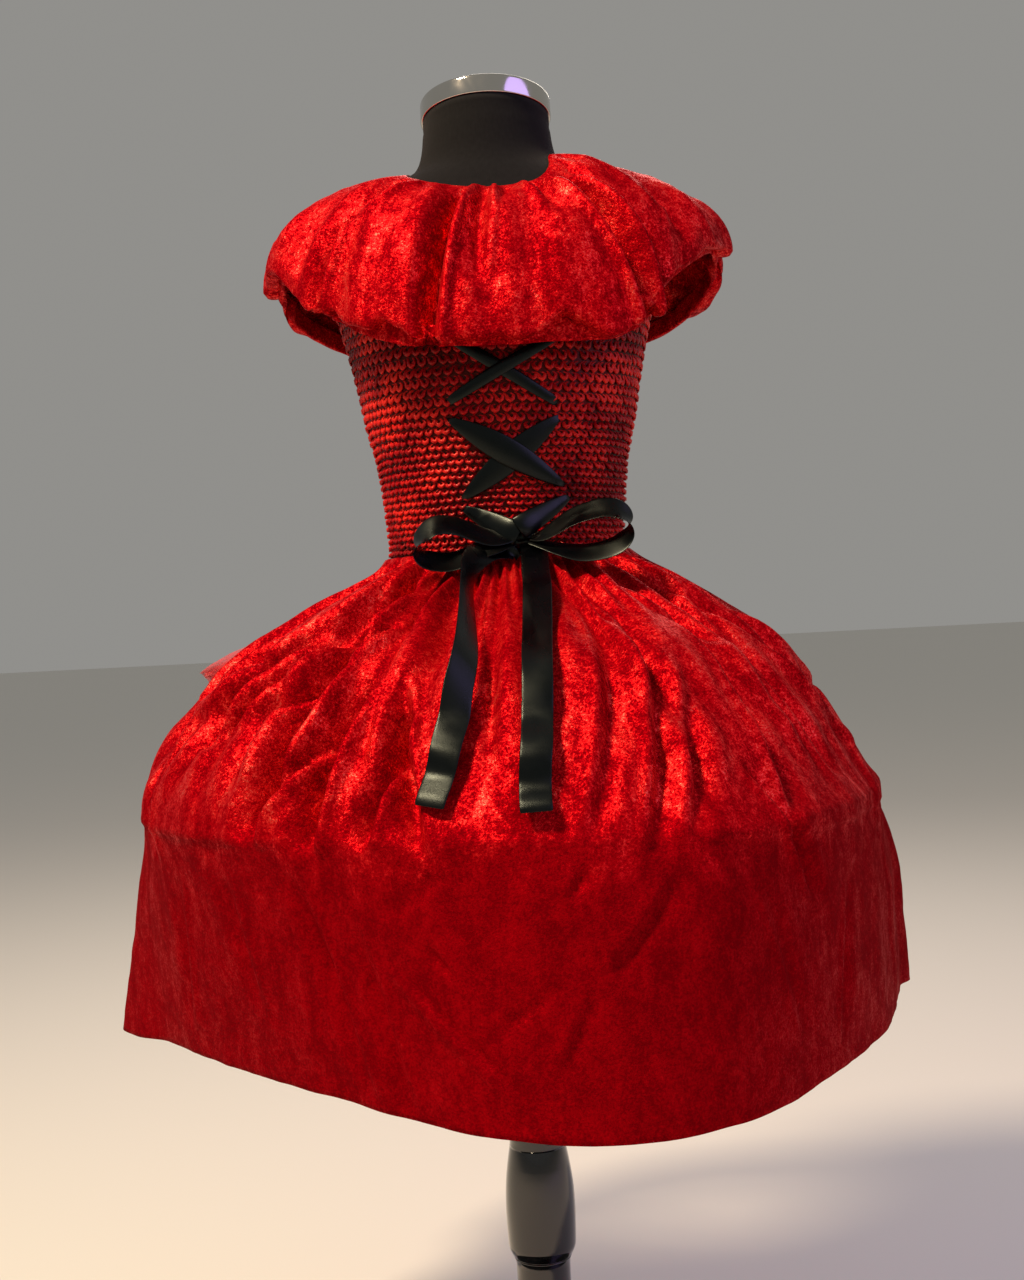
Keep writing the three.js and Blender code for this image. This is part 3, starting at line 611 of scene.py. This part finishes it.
# Folds: angle at each end, drop at each end, half width, depth (a ridge is below 0), sharpness
skirtFolds = [
    (-92, -74, 20, 150, 12, 5, 1.6), (-62, -60, 20, 120, 11, 5, 1.6), (-35, -42, 20, 74, 7, 9, 1.2),
    (-29, -47, 44, 104, 7, 8, 1.2), (-43, -68, 2, 104, 9, -8, 1.7), (-37, -58, 12, 124, 6, 8, 1.2),
    (-34, -41, 46, 178, 8, 11, 1.2), (-27, -30, 74, 182, 7, 10, 1.1), (-17, -21, 98, 178, 6, 8, 1.1),
    (-20, -12, 78, 182, 6, 7, 1.1), (-4, -4, 44, 136, 5, 2.5, 1.2), (20, 8, 30, 176, 6, 4, 1.2),
    (28, 15, 26, 184, 6, 5.5, 1.1), (42, 39, 46, 174, 7, 6, 1.2), (30, 20, 80, 180, 6, 3.5, 1.2),
    (62, 84, 36, 172, 11, 8, 1.3), (33, 41, 140, 226, 6, 4, 1.2), (84, 70, 100, 210, 9, 4, 1.5),
    (-52, -61, 26, 120, 8, 6, 1.2), (-75, -70, 60, 200, 8, 4, 1.2), (52, 57, 40, 160, 7, 5, 1.2),
    (10, 6, 10, 60, 5, 4, 1.2), (-12, -14, 8, 74, 5, 4, 1.2), (-31, -39, 112, 160, 6, 5, 1.2),
    (24, 22, 12, 50, 5, 4, 1.2), (-24, -26, 10, 50, 5, 4, 1.2), (-66, -76, 8, 90, 8, 6, 1.3),
    (38, 48, 8, 70, 6, 5, 1.2), (56, 72, 4, 96, 8, -6, 1.6), (70, 88, 10, 110, 8, 6, 1.3),
]
# Packing creases below the puff: thin ridges and troughs
skirtCreases = [
    (-33, -22, 196, 334, 5, 2.6, 1.1), (-23, -16, 222, 334, 4.5, 2.2, 1.1),
    (-18, -1, 246, 320, 4.5, -2.7, 1.3), (-12, -9, 232, 250, 4, 2.2, 1.1), (18, 9, 196, 248, 6, 2.4, 1.2),
    (7, 5, 188, 206, 4, 2, 1.1),
    (7, 3, 256, 304, 4, 1.8, 1.1), (-4, 4, 282, 250, 4, 1.6, 1.1), (30, 36, 214, 300, 5, 1.8, 1.2),
    (-48, -44, 200, 290, 6, 2, 1.2), (52, 47, 220, 320, 5, 2, 1.2), (-62, -66, 210, 320, 6, 2.4, 1.2),
    (74, 80, 200, 330, 6, 3, 1.2), (-10, -17, 190, 218, 8, 1.4, 1.3), (22, 14, 308, 282, 9, -1.1, 1.3),
]


def skirtRadius(angle, drop):
    right = (1 + math.sin(math.radians(angle))) / 2
    top = bodyRadius(angle, -min(drop, 10), bodice["layer"] + skirt["stand"])
    puff = puffRadius(angle)
    if drop <= skirt["puffDrop"]:
        return top + (puff - top) * (riseLeft(drop) * (1 - right) + riseRight(drop) * right)
    return puff + (hemRadius(angle) - puff) * (fallLeft(drop) * (1 - right) + fallRight(drop) * right)


def skirtBase(angle, drop):
    level = drop
    if drop > skirt["puffDrop"]:
        level = skirt["puffDrop"] + (drop - skirt["puffDrop"]) * (hemDrop(angle) - skirt["puffDrop"]) / (
            skirt["length"] - skirt["puffDrop"])
    return roundBody(angle, skirtRadius(angle, drop), -level)


def foldSum(folds, angle, along, radius):
    depth = 0.0
    for fromAngle, toAngle, start, end, halfWidth, deep, sharp in folds:
        part = (along - start) / (end - start)
        if not 0 < part < 1:
            continue
        away = math.radians(wrapped(angle - fromAngle - (toAngle - fromAngle) * part)) * radius / halfWidth
        if abs(away) > 5:
            continue
        rise = math.sin(math.pi * part) ** 0.6
        steep = away * (1.05 if away * fromAngle < 0 else 0.6)
        ridge = math.exp(-(abs(steep) - 1.6) ** 2 * 1.8) * (0.5 if away * fromAngle < 0 else 0.2)
        depth += deep * rise * (math.exp(-abs(steep) ** sharp) - ridge)
    return depth


# The gathers grow below the waist and fade towards the puff
def gatherShare(drop):
    return smoothstep(drop, 0, 34) * (1 - smoothstep(drop, 70, skirt["puffDrop"] + 20))


def gatherShape(angle, drop):
    grow = gatherShare(drop)
    wander = 0.35 * math.sin(math.radians(5 * angle)) + 0.25 * math.sin(math.radians(11 * angle + 40))
    phase = math.radians(360 * skirt["gathers"] * (angle + skirt["edge"]) / (2 * skirt["edge"])) + wander
    stray = noise.noise(Vector((angle / 13, drop / 85, 2.5)))
    coarse = (0.5 + skirt["coarseDepth"] * grow) * (0.5 + 0.5 * math.cos(phase + 1.2 * stray))
    strength = 0.55 + 0.9 * noise.noise(Vector((angle / 17, drop / 120, 7.5)))
    folds = smoothstep(drop, 6, 40) * (1 - smoothstep(drop, 112, 176)) * max(strength, 0.1)
    middle = skirt["middleDepth"] * folds * (0.5 + 0.5 * math.cos(phase * 1.5 + 5 * stray)) ** 1.3
    waistPuff = smoothstep(drop, 2, 10) * (1 - smoothstep(drop, 22, 60))
    fine = skirt["fineDepth"] * waistPuff * (
        0.5 + 0.5 * math.sin(phase * 2.1 + 3 * wander + 2 * stray)) ** 1.3
    return coarse + middle + fine


def skirtPoint(angle, drop):
    base = skirtBase(angle, drop)
    across = skirtBase(angle + 0.6, drop) - skirtBase(angle - 0.6, drop)
    along = skirtBase(angle, min(drop + 2, skirt["length"])) - skirtBase(angle, max(drop - 2, 0))
    inward = across.cross(along).normalized()
    radius = skirtRadius(angle, drop)
    deep = skirt["foldScale"] + 0.7 * smoothstep(-angle, 8, 26)     # the folds are deeper left of the bow
    depth = gatherShape(angle, drop) + deep * foldSum(skirtFolds, angle, drop, radius)
    depth += skirt["creaseScale"] * foldSum(skirtCreases, angle, drop, radius)
    # the cloth turns over the tutu's lower edge in a soft line, higher at the right
    turnDrop = 174 + 12 * smoothstep(angle, 12, 46) + 4 * smoothstep(-angle, 20, 60)
    below = drop - turnDrop
    depth += 1.8 * smoothstep(below, 0, 4) * (1 - smoothstep(below, 6, 70))
    soft = smoothstep(drop, 14, 60)
    depth -= soft * bumpSum(base, skirt["bumps"])
    return base + inward * easedOut(depth - 1.5 * soft, skirt["proud"])


def skirtGrid(u, v):
    drop = skirt["length"] * v ** 1.12
    return skirtPoint((2 * u - 1) * skirt["edge"], drop)


bm = bmesh.new()
clothGrid(bm, skirt["columns"], skirt["rows"], skirtGrid, (1010, 430), outward=fromAxis)
overskirt = finishMesh("overskirt_velvet", bm, velvetMaterial)
addThickness(overskirt, skirt["wall"])
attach(overskirt, "root")
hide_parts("overskirt")
print("overskirt made")


# Tutu: strips knotted round the waist, in two layers. Depths are from the velvet inwards

tutu = {
    "openPuff": 33, "stripWidth": 118, "stripLength": 270, "columns": 12, "rows": 22,
    "hipPuffs": [(-109, 9, 54, (26, 60, 66, 108)), (109, 8, 26, (16, 50, 56, 84))],
}


def openShare(angle):
    return smoothstep(abs(wrapped(angle)), skirt["edge"] + 1.5, skirt["edge"] + 10)


def foldRoom(drop):
    gathers = 3 * gatherShare(drop)
    return 0.3 + gathers + 9 * smoothstep(drop, 4, 22) + 13 * smoothstep(drop, 12, 66)


def tutuRadius(angle, drop):
    turn = wrapped(angle)
    settles = 0.6 * smoothstep(drop, 100, 200)
    puffed = smoothstep(drop, 6, 84) - settles
    free = (tutu["openPuff"] - 9 * math.sin(math.radians(turn))) * puffed * openShare(turn)
    for middle, spread, height, drops in tutu["hipPuffs"]:
        rise = smoothstep(drop, *drops[:2]) * (1 - smoothstep(drop, *drops[2:]))
        edge = smoothstep(abs(turn), skirt["edge"] - 1, skirt["edge"] + 5)
        free += height * math.exp(-((turn - middle) / spread) ** 2) * rise * edge
    return skirtRadius(turn, drop) + free


def tutuBase(angle, drop):
    return roundBody(angle, tutuRadius(angle, drop), -drop)


def stripPoint(strip, u, v):
    angle0, seed = strip["angle"], strip["seed"]
    drop = 0.8 + v * (strip["length"] - 0.8)
    spread = tutu["stripWidth"] * (0.10 + 0.90 * smoothstep(v, 0.0, 0.75))
    radius = tutuRadius(angle0, drop)
    angle = angle0 + strip["lean"] * v * 6 + math.degrees((u - 0.5) * spread / max(radius, 60))
    base = tutuBase(angle, drop)
    across = tutuBase(angle + 1, drop) - tutuBase(angle - 1, drop)
    along = tutuBase(angle, drop + 2) - tutuBase(angle, max(drop - 2, 0))
    inward = across.cross(along).normalized()
    ripple = strip["wave"] * smoothstep(v, 0.05, 0.7) * math.sin(2 * math.pi * (1.5 * u + seed))
    pinch = 1.2 * (1 - smoothstep(v, 0.1, 0.5)) * math.sin(2 * math.pi * (2.5 * u + seed * 3))
    covered = 1 - 0.75 * openShare(angle)
    depth = (strip["depthAt"](drop) + strip["tuck"] * smoothstep(drop, 5, 40)) * covered
    depth += abs(ripple + pinch * 0.4) + 0.6 * noise.noise(base / 12 + Vector((seed, 0, 0)))
    return base + inward * max(depth, 1.6)


def outerDepth(drop):
    return 1.9 + 1.15 * foldRoom(drop)


def innerDepth(drop):
    return 3.4 + 1.8 * foldRoom(drop)


def tutuLayer(name, count, length, depthAt, wave, seed):
    bm = bmesh.new()
    draw = random.Random(seed)
    for k in range(count):
        angle0 = -180 + 360 * (k + 0.5 * (seed % 2) + 0.3 * (draw.random() - 0.5)) / count
        strip = {
            "angle": angle0, "length": length * (1 + 0.03 * (draw.random() - 0.5)), "depthAt": depthAt,
            "tuck": 0.8 * (k % 2), "lean": draw.random() - 0.5, "wave": wave * (0.7 + 0.6 * draw.random()),
            "seed": draw.random(),
        }
        clothGrid(bm, tutu["columns"], tutu["rows"], lambda u, v: stripPoint(strip, u, v),
                  (tutu["stripWidth"], tutu["stripLength"]), outward=fromAxis)
    layer = finishMesh(name, bm, tulleMaterial)
    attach(layer, "root")
    return layer


tutuOuter = tutuLayer("tutu_outer", 26, 198, outerDepth, 5.0, 4)
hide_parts("tulle_outer")
tutuInner = tutuLayer("tutu_inner", 22, 172, innerDepth, 4.0, 9)
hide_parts("tulle_inner")
print("tutu made")


# Collar

collar = {
    "wall": 0.9, "curl": 4, "curlBack": 14, "tuckLift": 14, "tuckAngle": 56, "tuckSpread": 17, "waves": 19,
    "columns": 400, "rows": 80, "rollEnd": 1.22, "clothEnd": 1.4, "foldScale": 1.35,
    "bumps": [(1.4, 34, 5.0), (0.8, 13, 2.0), (0.25, 5, 9.0)],
    "angle": [-180, -157, -135, -107, -90, -69, -50, -27, 0, 27, 37, 50, 65, 76, 90, 105, 122, 140, 160, 180],
    "neckHeight": [262, 265, 271, 279, 281, 276, 267, 258, 254, 257,
                   260, 266, 274, 279, 281, 279, 273, 268, 264, 262],
    "radius": [120, 130, 150, 174, 166, 143, 134, 128, 118, 129,
               138, 141, 140, 153, 171, 184, 182, 160, 132, 120],
    "hemHeight": [140, 146, 160, 188, 206, 178, 155, 138, 136, 136,
                  138, 150, 178, 198, 214, 201, 179, 162, 147, 140],
}
collarNeck = curveOf(collar["angle"], collar["neckHeight"])
collarRadius = curveOf(collar["angle"], collar["radius"])
collarHem = curveOf(collar["angle"], collar["hemHeight"])
# Folds from neck (0) to hem (1): angles, shares along, half width, depth, sharpness
collarFolds = [
    (-152, -148, -0.1, 1.3, 9, 12, 1.2), (-126, -124, 0, 1, 9, 9, 1.2), (-101, -104, -0.1, 1.3, 10, 12, 1.2),
    (-84, -88, 0.1, 0.8, 8, 6, 1.3), (-70, -74, -0.1, 0.9, 7, 8, 1.2), (-52, -66, -0.1, 1.35, 6, 15, 1.0),
    (-40, -58, -0.1, 0.66, 6, 9, 1.1), (-13, -24, -0.1, 1.38, 5.5, 15, 1.0), (-3, -6, 0.12, 0.8, 6, 7, 1.2),
    (12, 4, -0.15, 0.4, 4, 6, 1.2), (32, 52, -0.1, 1.3, 5.5, 15, 1.0), (43, 61, 0, 1.2, 6, 14, 1.0),
    (63, 67, 0.02, 0.7, 5, 12, 1.1), (24, 25, -0.1, 0.5, 5, 6, 1.2), (72, 70, 0, 0.9, 7, 8, 1.2),
    (80, 86, 0.1, 1, 8, 6, 1.2), (99, 101, -0.1, 1.3, 10, 12, 1.2), (124, 127, 0, 1, 9, 9, 1.2),
    (149, 147, -0.1, 1.3, 9, 12, 1.2), (177, 175, 0, 1, 9, 10, 1.2),
]
# Tips and notches of the hem: angle, spread, height
collarTips = [
    (-67, 4, -5), (-56, 4, 7), (-46, 4, 3), (-36, 4.5, 13), (-29, 3, 8), (-23.5, 4, -5), (-12, 5, 2),
    (1, 3, 3), (22, 6, 16), (29, 2.5, 4), (37, 5, -3), (48, 5, 7), (55, 3, -4), (66, 5, 8), (78, 6, 6),
    (101, 6, 7), (114, 4, -4), (127, 7, 6), (147, 6, 9), (160, 4, -3), (175, 7, 6), (-84, 6, 7),
    (-104, 6, 7), (-124, 7, 8), (-138, 4, -3), (-148, 6, 9), (-166, 5, 5),
]


def collarBase(angle, along):
    angle = wrapped(angle)
    bunch = math.exp(-((angle - collar["tuckAngle"]) / collar["tuckSpread"]) ** 2)
    neckHeight = collarNeck(angle) + collar["tuckLift"] * bunch
    neckRadius = bodyRadius(angle, neckHeight - 1.6, 0) + 1.1
    outer = collarRadius(angle)
    edge = collarHem(angle)
    low = edge + collar["curl"]
    low += sum(h * math.exp(-(wrapped(angle - a) / spread) ** 2) for a, spread, h in collarTips)
    bend = min(max(along, 0), 1) * math.pi / 2
    radius = neckRadius + (outer - neckRadius) * math.sin(bend)
    height = neckHeight - (neckHeight - low) * (1 - math.cos(bend))
    if along > 1:                                   # the hem rolls under, then runs back to the elastic
        share = min((along - 1) / 0.22, 1)
        radius -= 2.2 * collar["curl"] * smoothstep(share, 0, 0.45) + 2 * share
        height += (edge - low) * smoothstep(share, 0.3, 1) - 1.2 * math.sin(math.pi * min(share / 0.45, 1))
        height += max(along - collar["rollEnd"], 0) / 0.18 * collar["curlBack"]
    if along < 0:
        radius += along * 20
    return roundBody(angle, radius, height)


def collarPoint(angle, along):
    base = collarBase(angle, along)
    across = collarBase(angle + 0.8, along) - collarBase(angle - 0.8, along)
    down = collarBase(angle, along + 0.012) - collarBase(angle, along - 0.012)
    inward = across.cross(down).normalized()
    body = min(along, 1)
    wander = 0.5 * math.sin(math.radians(4 * angle + 20)) + 0.3 * math.sin(math.radians(9 * angle))
    swell = 0.9 + 2.3 * math.sin(math.pi * body) ** 0.8
    stray = noise.noise(Vector((angle / 15, 2.2 * along, 4.5)))
    depth = swell * (0.5 + 0.5 * math.cos(math.radians(collar["waves"] * angle) + wander + 1.6 * stray))
    depth += 1.3 * smoothstep(along, 0, 0.03) * (1 - smoothstep(along, 0.06, 0.26)) * (
        0.5 + 0.5 * math.cos(math.radians(61 * angle) + 3 * wander))
    sideways = abs(math.sin(math.radians(angle)))
    onShoulder = smoothstep(sideways, 0.62, 0.88) * (1 - smoothstep(along, 0.45, 0.85))
    radius = 60 + (collarRadius(wrapped(angle)) - 60) * min(along * 1.4, 1)
    depth += collar["foldScale"] * (1 - 0.75 * onShoulder) * foldSum(collarFolds, angle, along, radius)
    depth *= min(max(along, 0) * 7, 1) * (1 - smoothstep(along, 1.1, 1.3))
    soft = smoothstep(along, 0.05, 0.3)
    depth -= soft * bumpSum(base, collar["bumps"])
    return base + inward * easedOut(depth - 1.5 * soft, 0.8 + 5.2 * smoothstep(along, 0.08, 0.34))


def collarGrid(u, v):
    return collarPoint(360 * u - 180, v * collar["clothEnd"])


bm = bmesh.new()
clothGrid(bm, collar["columns"], collar["rows"], collarGrid, (940, 215), closed=True,
          outward=lambda p: fromAxis(p) + Vector((0, 0, 0.05)))
collarPiece = finishMesh("collar_velvet", bm, velvetMaterial)
addThickness(collarPiece, collar["wall"])
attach(collarPiece, "root")
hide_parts("collar")
print("collar made")


# Ribbon: bands, bow and tails

ribbon = {
    "width": 19, "wall": 0.45, "lift": 1.0, "layerLift": 1.7, "eyeletDip": 3.6, "knotRise": 13,
    "bandSteps": 22, "loopSteps": 56, "tailSteps": 64,
}


# A strip through frames of (middle, side, face, width, cup) in millimetres
def ribbonPiece(name, frames, length, nodes, columns=6):
    rows = len(frames) - 1

    def point(u, v):
        middle, side, face, width, cup = frames[min(round(v * rows), rows)]
        return middle + side * ((u - 0.5) * width) + face * (cup * (1 - (2 * u - 1) ** 2))

    bm = bmesh.new()
    clothGrid(bm, columns, rows, point, (ribbon["width"], length))
    piece = finishMesh(name, bm, satinMaterial)
    addThickness(piece, ribbon["wall"], 0.0)
    addSubdivision(piece, 1)
    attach(piece, "root")
    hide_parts(*nodes)
    return piece


# Bands: ends across and up, least width (at the eyelets) and most, layer, how far the ribbon cups out
lacing = [
    ((-38, 151), (40, 99.5), 5, 9, 0, 0.8), ((46, 148), (-37, 103), 5, 9, 1, 0.8),
    ((42.5, 92), (-31, 35.5), 2, 18.5, 0, 1.2), ((-37.5, 93), (43, 42.5), 2, 19, 1, 1.8),
    ((-30, 31), (8, 9), 2.5, 17, 0, 1.8), ((46, 36), (8, 13), 2.5, 17, 1, 2.6),
]
for number, (start, end, least, most, layer, cup) in enumerate(lacing, 1):
    way = (Vector(end) - Vector(start)).normalized()
    frames = []
    for k in range(ribbon["bandSteps"] + 1):
        t = k / ribbon["bandSteps"]
        flat = Vector(start).lerp(Vector(end), t)
        toKnot = smoothstep(t, 0.2, 1.0) if number > 4 else 0
        dips = 1 - smoothstep(t, 0.0, 0.05) + (smoothstep(t, 0.95, 1.0) if number <= 4 else 0)
        over = ribbon["layerLift"] * layer * math.sin(math.pi * t) ** 0.5
        lift = ribbon["lift"] + 0.6 + over - ribbon["eyeletDip"] * dips + ribbon["knotRise"] * toKnot
        middle = bodiceBack(flat.x, flat.y, lift)
        side = (bodiceBack(flat.x - way.y, flat.y + way.x, lift)
                - bodiceBack(flat.x + way.y, flat.y - way.x, lift)).normalized()
        ahead = (bodiceBack(flat.x + way.x, flat.y + way.y, lift)
                 - bodiceBack(flat.x - way.x, flat.y - way.y, lift)).normalized()
        face = side.cross(ahead)
        if face.y > 0:
            face.negate()
        if number > 4:
            spread = math.sin(math.pi * 0.5 * t) ** 0.7
        else:
            spread = math.sin(math.pi * t) ** (0.5 if number < 3 else 0.85)
        frames.append((middle, side, face, least + (most - least) * spread, cup * spread))
    length = (Vector(end) - Vector(start)).length
    band = ribbonPiece(f"lacing_band_{number}", frames, length, [f"lacing_{number}"])

knot = {"x": 10.5, "height": 7.5, "halfWidth": 9, "halfHeight": 8, "halfDepth": 5.5}
knotMiddle = bodiceBack(knot["x"], knot["height"], 0.6 + knot["halfDepth"])
bm = bmesh.new()
bm.loops.layers.uv.new("cut")
bmesh.ops.create_uvsphere(bm, u_segments=32, v_segments=18, radius=1.0, calc_uvs=True)
for vert in bm.verts:
    x, y, z = vert.co
    full = 1 + (0.08 * math.sin(9 * x + 2.5 * z) + 0.05 * math.sin(14 * z - 3 * x))
    vert.co = (knotMiddle + Vector((
        knot["halfWidth"] * math.copysign(abs(x) ** 0.75, x) * full,
        knot["halfDepth"] * y * full,
        knot["halfHeight"] * math.copysign(abs(z) ** 0.7, z) * (1 - 0.18 * abs(x)) * full))) * mm
knotPiece = finishMesh("bow_knot_satin", bm, satinMaterial)
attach(knotPiece, "root")
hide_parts("bow_knot")

bowLoops = {
    "left": [(5, -81, 8), (-4, -85, 7.5), (-16, -88, 9.5), (-34, -91, 17), (-48, -94, 18), (-58, -96, 10),
             (-60, -97, 1), (-53, -97, -5.5), (-37, -96, -7), (-17, -93, 0.5), (-4, -87, 4), (5, -81, 5)],
    "right": [(16, -81, 8), (26, -86, 9), (44, -90, 19), (57, -92, 23), (68, -93, 24.8), (78, -94, 22),
              (83.5, -95, 14), (81.5, -95, 5), (72, -95, -2.5), (53, -94, -5.5), (36, -91, -2), (16, -82, 5)],
}
for side, points in bowLoops.items():
    count = ribbon["loopSteps"]
    line = smoothLine([(x, y, waist + z) for x, y, z in points], count)
    frames = []
    for k, middle in enumerate(line):
        t = k / count
        leanAngle = math.radians(34 + 16 * math.sin(math.pi * t))
        lean = Vector((0, -math.cos(leanAngle), -math.sin(leanAngle)))
        ahead = (line[min(k + 1, count)] - line[max(k - 1, 0)]).normalized()
        across = (lean - ahead * lean.dot(ahead)).normalized()
        width = ribbon["width"] * (0.5 + 0.5 * smoothstep(min(t, 1 - t), 0.0, 0.16))
        frames.append((middle, across, ahead.cross(across), width, 0.6))
    length = sum((b - a).length for a, b in zip(line, line[1:]))
    loop = ribbonPiece(f"bow_loop_{side}_satin", frames, length, [f"bow_loop_{side}"])

bowTails = {
    "left": {
        "drop": [-3, 4, 12, 24, 36, 57, 78, 96, 108, 120, 130, 138, 147, 156],
        "x": [4, -4, -15, -23, -25, -25, -26, -31, -34, -38, -41, -44, -47, -50],
        "twist": [0, 0, 36, 68, 74, 64, 48, 32, 20, 10, 4, 0, 0, 0]},
    "right": {
        "drop": [-9, -3, 8, 24, 36, 57, 75, 93, 108, 122, 134, 144, 153, 161],
        "x": [16, 17, 18, 17.5, 17.5, 16, 14.5, 13.5, 12.5, 11.5, 10, 9.2, 9, 9.2],
        "twist": [0, 0, 0, 0, 0, 0, 0, 0, 0, 0, 0, 0, 0, 0]},
}


# The place on the back of the skirt that lies x to the side, found in a few rounds
def skirtAt(x, drop):
    if drop < 0:
        return bodiceBack(x, -drop, 4.5 + 8.5 * smoothstep(-drop, 0, 7))
    angle = 0.0
    for _ in range(6):
        angle = math.degrees(math.asin(x / skirtRadius(angle, drop)))
    return skirtBase(angle, drop)


for side, rows in bowTails.items():
    count = ribbon["tailSteps"]
    line = smoothLine([skirtAt(x, drop) for x, drop in zip(rows["x"], rows["drop"])], count)
    ranks = list(range(len(rows["twist"])))
    xAt, dropAt, twistAt = (curveOf(ranks, rows[key]) for key in ("x", "drop", "twist"))
    frames = []
    for k, middle in enumerate(line):
        place = k / count * (len(ranks) - 1)
        ahead = (line[min(k + 1, count)] - line[max(k - 1, 0)]).normalized()
        x, drop = xAt(place), dropAt(place)
        level = skirtAt(x + 4, drop) - skirtAt(x - 4, drop)
        level = (level - ahead * level.dot(ahead)).normalized()
        out = level.cross(ahead).normalized()
        if out.y > 0:
            out.negate()
        twist = math.radians(twistAt(place))
        across = level * math.cos(twist) - out * math.sin(twist)
        face = out * math.cos(twist) + level * math.sin(twist)
        ripple = (2 + 2 * math.sin(k * 0.42 + 0.6)) * smoothstep(k, 10, 20) * (1 if side == "right" else 0.5)
        lift = 1.6 + 4.4 * smoothstep(k, 2, 12) + 0.5 * ribbon["width"] * abs(math.sin(twist)) + ripple
        frames.append((middle + out * lift, across, face, ribbon["width"], 0.5))
    length = sum((b - a).length for a, b in zip(line, line[1:]))
    tail = ribbonPiece(f"bow_tail_{side}_satin", frames, length, [f"bow_tail_{side}"])
print("ribbon made")


# Floor and light

floorMaterial, _, floorShader = newMaterial("studio_floor_painted")
floorShader.inputs["Base Color"].default_value = srgb("#E6E3DD")
floorShader.inputs["Roughness"].default_value = 0.9
bm = bmesh.new()
bmesh.ops.create_grid(bm, x_segments=2, y_segments=2, size=30)
floor = finishMesh("floor", bm, floorMaterial)

world = bpy.data.worlds.new("studio")
bpy.context.scene.world = world
world.use_nodes = True
sky = world.node_tree.nodes["Background"]
sky.inputs["Color"].default_value = srgb("#D6D4CF")
sky.inputs["Strength"].default_value = 0.42

lampsAim = Vector((0, 0, 0.62))
studioLights = {
    "key": {"place": (-1.0, -0.85, 2.45), "size": 0.4, "power": 74, "colour": "#FFE4C0"},
    "fill": {"place": (1.7, -1.0, 1.5), "size": 1.8, "power": 14, "colour": "#C4A4FF"},
    "back": {"place": (0.3, 1.8, 2.2), "size": 1.2, "power": 14, "colour": "#FFF4E6"},
}
for name, light in studioLights.items():
    data = bpy.data.lights.new(name, "AREA")
    data.shape = "DISK"
    data.size = light["size"]
    data.energy = light["power"]
    data.color = srgb(light["colour"])[:3]
    lamp = bpy.data.objects.new(name, data)
    bpy.context.scene.collection.objects.link(lamp)
    lamp.location = light["place"]
    aim = lampsAim - lamp.location
    lamp.rotation_euler = aim.to_track_quat("-Z", "Y").to_euler()
bpy.context.scene.view_settings.view_transform = "Standard"
print("floor and lights placed")
